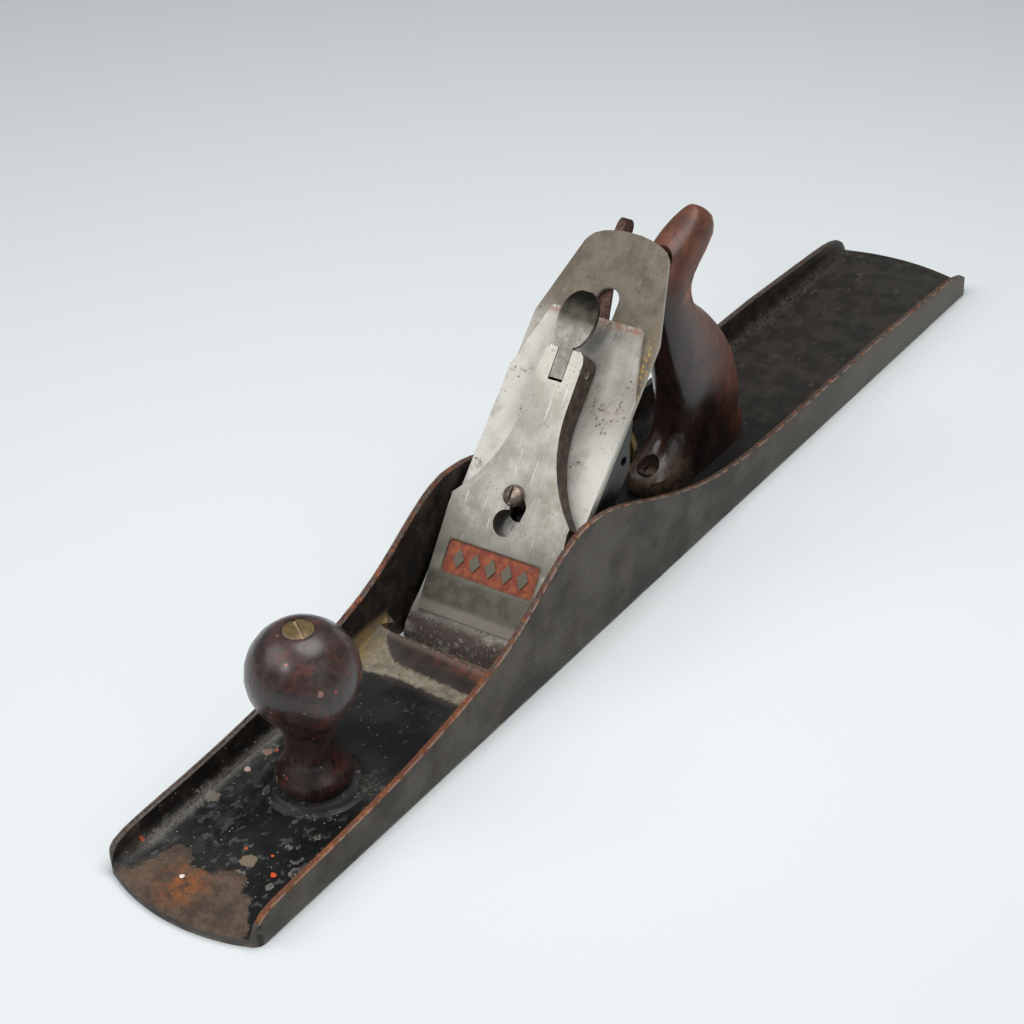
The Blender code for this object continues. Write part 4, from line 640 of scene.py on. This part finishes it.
def lever_cap_finish():
    """Worn nickel, satin and scratched up the face, with brown sides and an old red painted panel; a
    painted reflection lightens the upper face and a painted highlight runs along its edges.
    """
    g = Graph("lever_cap_nickel")
    place = g.blade(*CAP_ASKEW)
    up, across, out = g.split(place)
    cloud = g.noise(13, 5, place=place, shift=3)
    brush = g.noise(0.45, 5, stretch=(40, 1, 1), place=place, shift=4)
    fine = g.noise(0.6, 5, roughness=0.7, place=place, shift=5)
    colour = g.blend(g.rise(cloud, 0.36, 0.64), tone(176, 174, 165), tone(148, 144, 134))
    colour = g.blend(g.both(g.rise(brush, 0.44, 0.72), 0.45), colour, tone(196, 194, 187))
    colour = g.blend(g.both(g.rise(fine, 0.55, 0.7), 0.25), colour, tone(128, 122, 110))
    # Painted reflection: the face is lighter from about 90 mm up.
    upper = g.both(g.rise(up, 86, 108), g.rise(cloud, 0.26, 0.5), 0.6)
    colour = g.blend(upper, colour, tone(206, 202, 191))
    shade = g.both(g.rise(across, 8, 20), g.rise(up, 100, 84),
                   g.patches(9, 4, 0.36, 0.58, place=place, shift=21))
    colour = g.blend(g.both(shade, 0.5), colour, tone(122, 118, 106))
    freckles = g.both(g.rise(g.cells(1.7, place=place, shift=6), 0.3, 0.14),
                      g.patches(10, 3, 0.48, 0.58, place=place, shift=7))
    colour = g.blend(g.both(freckles, 0.55), colour, tone(100, 90, 76))
    stained = g.both(g.rise(across, -10, -16), g.rise(up, 48, 56), g.rise(up, 92, 78),
                     g.patches(3.4, 5, 0.44, 0.58, place=place, shift=8))
    colour = g.blend(g.both(stained, 0.28), colour, tone(140, 128, 106))
    pool = g.patches(24, 3, 0.44, 0.60, stretch=(1.6, 1, 1), place=place, shift=17)
    colour = g.blend(g.both(pool, 0.45), colour, tone(120, 117, 106))

    # Darker and greener toward the front, dullest below the panel
    dull = g.blend(g.patches(7, 5, 0.4, 0.62, place=place, shift=9),
                   tone(100, 98, 88), tone(124, 121, 109))
    colour = g.blend(g.both(g.rise(up, 62, 40), 0.8), colour, dull)
    dark = g.blend(g.patches(5, 5, 0.4, 0.62, place=place, shift=10), tone(70, 67, 59), tone(94, 90, 79))
    colour = g.blend(g.both(g.rise(up, 34, 29), 0.85), colour, dark)
    nose = g.both(g.rise(up, 21, 18), 0.7)
    colour = g.blend(nose, colour, tone(142, 134, 124))
    long_scratch = g.both(g.patches(1.2, 2, 0.66, 0.74, stretch=(60, 1, 1), place=place, shift=11), 0.6)
    colour = g.blend(g.both(long_scratch, g.rise(up, 34, 50)), colour, tone(232, 230, 224))

    # Brown sides, with a painted highlight along their upper edge
    outward = g.vector("DOT_PRODUCT", g.facing, tuple(OUT_OF_BLADE))
    flank = g.rise(outward, 0.5, 0.2)
    brown = g.blend(g.patches(4, 5, 0.4, 0.62, shift=12), tone(58, 47, 41), tone(88, 72, 62))
    colour = g.blend(g.both(flank, g.rise(up, 20, 24)), colour, brown)
    # Painted highlight: near white along the rounded edge between the face and the sides.
    edge = g.both(g.rise(outward, 0.4, 0.6), g.rise(outward, 0.95, 0.85))
    colour = g.blend(g.both(edge, 0.7), colour, tone(228, 226, 220))

    red, painted, smear, raised = panel_paint(g, place, up, across, out)
    colour = g.blend(g.either(painted, smear), colour, red)
    colour = g.blend(g.both(raised, 0.75), colour, tone(98, 90, 74))
    dry = g.either(painted, g.both(flank, 0.8), smear)
    rough = g.mix(dry, g.mix(g.rise(fine, 0.3, 0.7), 0.42, 0.58), 0.75)
    rough = g.mix(g.rise(up, 34, 29), rough, 0.5)
    metal = g.mix(dry, g.mix(g.rise(up, 60, 30), 0.65, 0.5), 0.1)
    relief = g.math("ADD", g.both(fine, 0.5), g.both(brush, 0.5))
    return g.finish(colour, rough, metal, g.bump(relief, 0.02, g.bump(painted, 0.05)))


def cam_lever_finish():
    """Polished steel, paler and pitted toward the pin; the dark of its upturned upper half is painted
    shade.
    """
    g = Graph("cam_lever_steel")
    place = g.blade(*CAP_ASKEW)
    up = g.split(place)[0]
    fine = g.noise(0.5, 5, roughness=0.7, place=place, shift=5)
    cloud = g.noise(4, 5, place=place, shift=6)
    pale = g.blend(g.rise(cloud, 0.4, 0.62), tone(150, 147, 139), tone(130, 126, 116))
    pale = g.blend(g.both(g.rise(fine, 0.52, 0.66), 0.6), pale, tone(92, 86, 78))
    # Painted shade: the upturned upper half of the pad is painted dark, as turned away from the light.
    dark = g.blend(g.rise(cloud, 0.4, 0.62), tone(48, 46, 40), tone(66, 62, 54))
    drift = g.math("ADD", up, g.wobble(5, 4, 3, place=place))
    upper = g.rise(drift, 139, 147)
    colour = g.blend(upper, pale, dark)
    pits = g.both(g.rise(g.cells(1.1, place=place, shift=7), 0.3, 0.12), g.math("SUBTRACT", 1.0, upper))
    colour = g.blend(g.both(pits, 0.6), colour, tone(76, 70, 62))
    rough = g.mix(upper, g.mix(fine, 0.36, 0.55), 0.24)
    return g.finish(colour, rough, 0.9, g.bump(g.math("SUBTRACT", fine, pits), 0.03))


def knob_finish():
    """Old rosewood under worn varnish: purple brown, almost black in its grain, with chips and pits."""
    g = Graph("knob_rosewood")
    grain = g.noise(2.4, 5, roughness=0.6, stretch=(1, 1, 5), warp=0.8, shift=1)
    figure = g.noise(13, 5, warp=1.6, shift=2)
    fine = g.noise(0.5, 4, stretch=(1, 1, 6), shift=3)
    colour = g.blend(g.rise(figure, 0.38, 0.62), tone(40, 28, 26), tone(64, 43, 38))
    colour = g.blend(g.both(g.rise(grain, 0.48, 0.66), 0.75), colour, tone(30, 20, 20))
    colour = g.blend(g.both(g.rise(fine, 0.58, 0.72), 0.3), colour, tone(100, 68, 58))
    bruise = g.both(g.patches(7, 4, 0.54, 0.68, shift=4), 0.55)
    colour = g.blend(bruise, colour, tone(98, 50, 42))
    specks = g.both(g.rise(g.cells(4.5, shift=18), 0.075, 0.05), g.patches(12, 2, 0.42, 0.5, shift=19))
    colour = g.blend(g.both(specks, 0.8), colour, tone(190, 178, 168))
    cell = g.cells(9.5, shift=5)
    chips = g.both(g.rise(g.math("ADD", cell, g.math("MULTIPLY", g.noise(1.2, 3), 0.16)), 0.235, 0.20),
                   g.patches(17, 2, 0.47, 0.53, shift=6))
    colour = g.blend(g.both(chips, 0.85), colour, tone(158, 116, 104))
    red = g.rise(g.cells(11, shift=8), 0.075, 0.055)
    colour = g.blend(g.both(red, 0.8), colour, tone(176, 70, 50))
    pits = g.both(g.rise(g.cells(2.6, shift=7), 0.16, 0.07), g.patches(9, 2, 0.48, 0.56, shift=9))
    colour = g.blend(pits, colour, tone(18, 13, 13))
    rough = g.mix(g.either(chips, pits), g.mix(g.rise(figure, 0.3, 0.7), 0.25, 0.42), 0.8)
    relief = g.math("SUBTRACT", g.both(grain, -0.25), g.either(chips, pits))
    return g.finish(colour, rough, 0.0, g.bump(relief, 0.14), Coat_Weight=0.28, Coat_Roughness=0.2)


def handle_finish():
    """Rosewood worn red at the grip and orange at the horn, nearly black and glossy low down."""
    g = Graph("handle_rosewood")
    grain = g.noise(1.6, 5, roughness=0.6, stretch=(3, 1, 5), warp=1.0, shift=1)
    figure = g.noise(15, 5, stretch=(1, 1, 1.6), warp=1.2, shift=2)
    fine = g.noise(0.5, 5, stretch=(1, 1, 4), roughness=0.7, shift=3)
    upper = g.blend(g.rise(figure, 0.38, 0.62), tone(78, 45, 34), tone(110, 64, 46))
    lower = g.blend(g.rise(figure, 0.4, 0.62), tone(26, 20, 19), tone(54, 36, 30))
    height = g.math("ADD", g.z, g.wobble(12, 3, 26, shift=4))
    slant = g.math("ADD", height, g.both(g.x, 2.0))
    colour = g.blend(g.rise(slant, 164, 206), lower, upper)
    colour = g.blend(g.both(g.rise(grain, 0.46, 0.68), 0.4), colour, tone(48, 32, 28))
    behind = g.both(g.rise(g.math("ADD", g.x, g.both(g.z, 0.45)), 104, 116), g.rise(g.z, 80, 60))
    speckled = g.both(behind, g.patches(2.2, 5, 0.48, 0.62, roughness=0.7, shift=5))
    colour = g.blend(g.both(speckled, 0.65), colour, tone(128, 62, 42))
    toe = g.both(g.rise(g.x, 56, 44), g.rise(g.z, 24, 14))
    mottled = g.blend(g.patches(4, 5, 0.42, 0.6, roughness=0.7, warp=1.0, shift=6), tone(52, 42, 36),
                      tone(96, 76, 60))
    colour = g.blend(g.both(toe, 0.85), colour, mottled)
    crest = g.both(g.rise(height, 116, 130), g.rise(g.x, 62, 80), 0.5)
    web = g.both(g.rise(g.math("SUBTRACT", g.x, g.both(g.z, 1.2)), -75, -69), g.rise(g.z, 95, 100),
                 g.rise(g.z, 121, 115))
    worn = g.blend(g.patches(2.2, 5, 0.4, 0.62, roughness=0.7, shift=7),
                   tone(118, 66, 38), tone(182, 104, 50))
    horn_back = g.both(g.rise(g.math("SUBTRACT", g.z, g.math("ABSOLUTE", g.both(g.y, 0.8))), 98, 110),
                       g.patches(3.5, 5, 0.36, 0.52, roughness=0.65, shift=10), g.rise(g.x, 72, 80))
    colour = g.blend(g.either(crest, g.both(web, 0.85), g.both(horn_back, 0.8)), colour, worn)
    colour = g.blend(g.both(g.rise(fine, 0.58, 0.72), 0.3), colour, tone(150, 104, 84))
    pits = g.both(g.rise(g.cells(3.0, shift=8), 0.13, 0.06), g.patches(9, 2, 0.5, 0.58, shift=9))
    colour = g.blend(pits, colour, tone(20, 14, 13))
    rough = g.mix(g.rise(slant, 162, 214), 0.15, 0.48)
    rough = g.mix(g.either(pits, g.both(toe, 0.6), g.both(crest, 0.6)), rough, 0.7)
    relief = g.math("SUBTRACT", g.both(grain, -0.3), pits)
    return g.finish(colour, rough, 0.0, g.bump(relief, 0.12), Coat_Weight=0.14, Coat_Roughness=0.25)


def knob_nut_finish():
    """Dull olive brass, with pale dirt in its slot."""
    g = Graph("knob_nut_brass")
    cloud = g.noise(4, 5, shift=1)
    fine = g.noise(0.5, 5, roughness=0.7, shift=2)
    colour = g.blend(g.rise(cloud, 0.38, 0.64), tone(128, 106, 66), tone(96, 80, 54))
    colour = g.blend(g.both(g.rise(fine, 0.54, 0.7), 0.4), colour, tone(66, 54, 38))
    dirt = g.both(g.rise(g.z, 77.9, 77.3), g.rise(g.z, 76.2, 76.6), g.rise(fine, 0.34, 0.46))
    colour = g.blend(g.both(dirt, 0.85), colour, tone(206, 186, 158))
    rough = g.mix(dirt, g.mix(fine, 0.42, 0.62), 0.9)
    return g.finish(colour, rough, g.mix(dirt, 0.6, 0.0), g.bump(fine, 0.04))


def knurled_brass():
    """Brass of the depth nut, dull, with dark dirt between the ribs of its rim."""
    g = Graph("nut_brass")
    cloud = g.noise(3.5, 5, shift=1)
    colour = g.blend(g.rise(cloud, 0.4, 0.62), tone(120, 98, 66), tone(84, 66, 48))
    round_axis = g.math("ARCTAN2", g.math("SUBTRACT", g.z, NUT_HEIGHT), g.y)
    ribs = g.math("ABSOLUTE", g.math("SINE", g.math("MULTIPLY", round_axis, NUT_RIBS)))
    colour = g.blend(g.both(g.rise(ribs, 0.5, 0.1), 0.5), colour, tone(48, 38, 30))
    fine = g.noise(0.5, 5, shift=2)
    return g.finish(colour, g.mix(fine, 0.3, 0.55), 0.85, g.bump(fine, 0.04))


# ---------------------------------------------------------------- pieces

def dress(node, material, bevel=0.25, angle=30, segments=2):
    """Give a CAD node its material, rounded edges and smooth shading."""
    obj = NODES[node]
    obj.data.materials.clear()
    obj.data.materials.append(material)
    if obj.data.has_custom_normals:
        bpy.context.view_layer.objects.active = obj
        bpy.ops.mesh.customdata_custom_splitnormals_clear()
    obj.data.shade_smooth()
    weld = obj.modifiers.new("weld", "WELD")
    weld.merge_threshold = WELD_WITHIN
    flat = obj.modifiers.new("flat", "DECIMATE")
    flat.decimate_type = "DISSOLVE"
    flat.angle_limit = math.radians(FLAT_WITHIN)
    if bevel:
        edge = obj.modifiers.new("edge", "BEVEL")
        edge.width = bevel * MM
        edge.segments = segments
        edge.limit_method = "ANGLE"
        edge.angle_limit = math.radians(angle)
        edge.harden_normals = True
    else:
        split = obj.modifiers.new("split", "EDGE_SPLIT")
        split.split_angle = math.radians(angle)
    return obj


def dress_all():
    """Dress every node with the look of its material slot, or with its own."""
    steel = old_steel("small_steel", (126, 120, 112), (92, 86, 80))
    browned = old_steel("browned_steel", (84, 72, 62), (58, 49, 43), brown=0.6, roughness=0.55)
    screw = old_steel("screw_steel", (150, 136, 124), (110, 98, 88), brown=0.5, roughness=0.36)
    brass = old_steel("worn_brass", (150, 124, 76), (112, 90, 56), brown=0.35, roughness=0.4)
    lateral = old_steel("lateral_steel", (98, 74, 68), (70, 50, 46), brown=0.5, roughness=0.5)
    black = japanning("frog_japanning")
    looks = {
        "bed": bed_finish(), "frog": black, "frog_fasteners": browned,
        "yoke": japanning("yoke_japanning"),
        "small_steel": steel, "depth_nut": knurled_brass(), "lateral_lever": lateral,
        "cutting_iron": cutting_iron_finish(), "cap_iron": cap_iron_finish(), "cap_screws": screw,
        "lever_cap": lever_cap_finish(), "cam_lever": cam_lever_finish(), "knob": knob_finish(),
        "handle": handle_finish(), "brass": brass,
    }
    own = {"knob_nut": knob_nut_finish(), "handle_toe_screw": browned}
    bevels = {"bed_casting": 0.3, "frog": 0.3, "lever_cap": 0.35, "cam_lever": 0.3,
              "cutting_iron": 0.15, "cap_iron": 0.15}
    for row in frame["record"]["subparts"]:
        node = row["node"]
        material = own.get(node) or looks[row["material_slot"]]
        dress(node, material, bevel=bevels.get(node, 0))


camera()
stage()
dress_all()
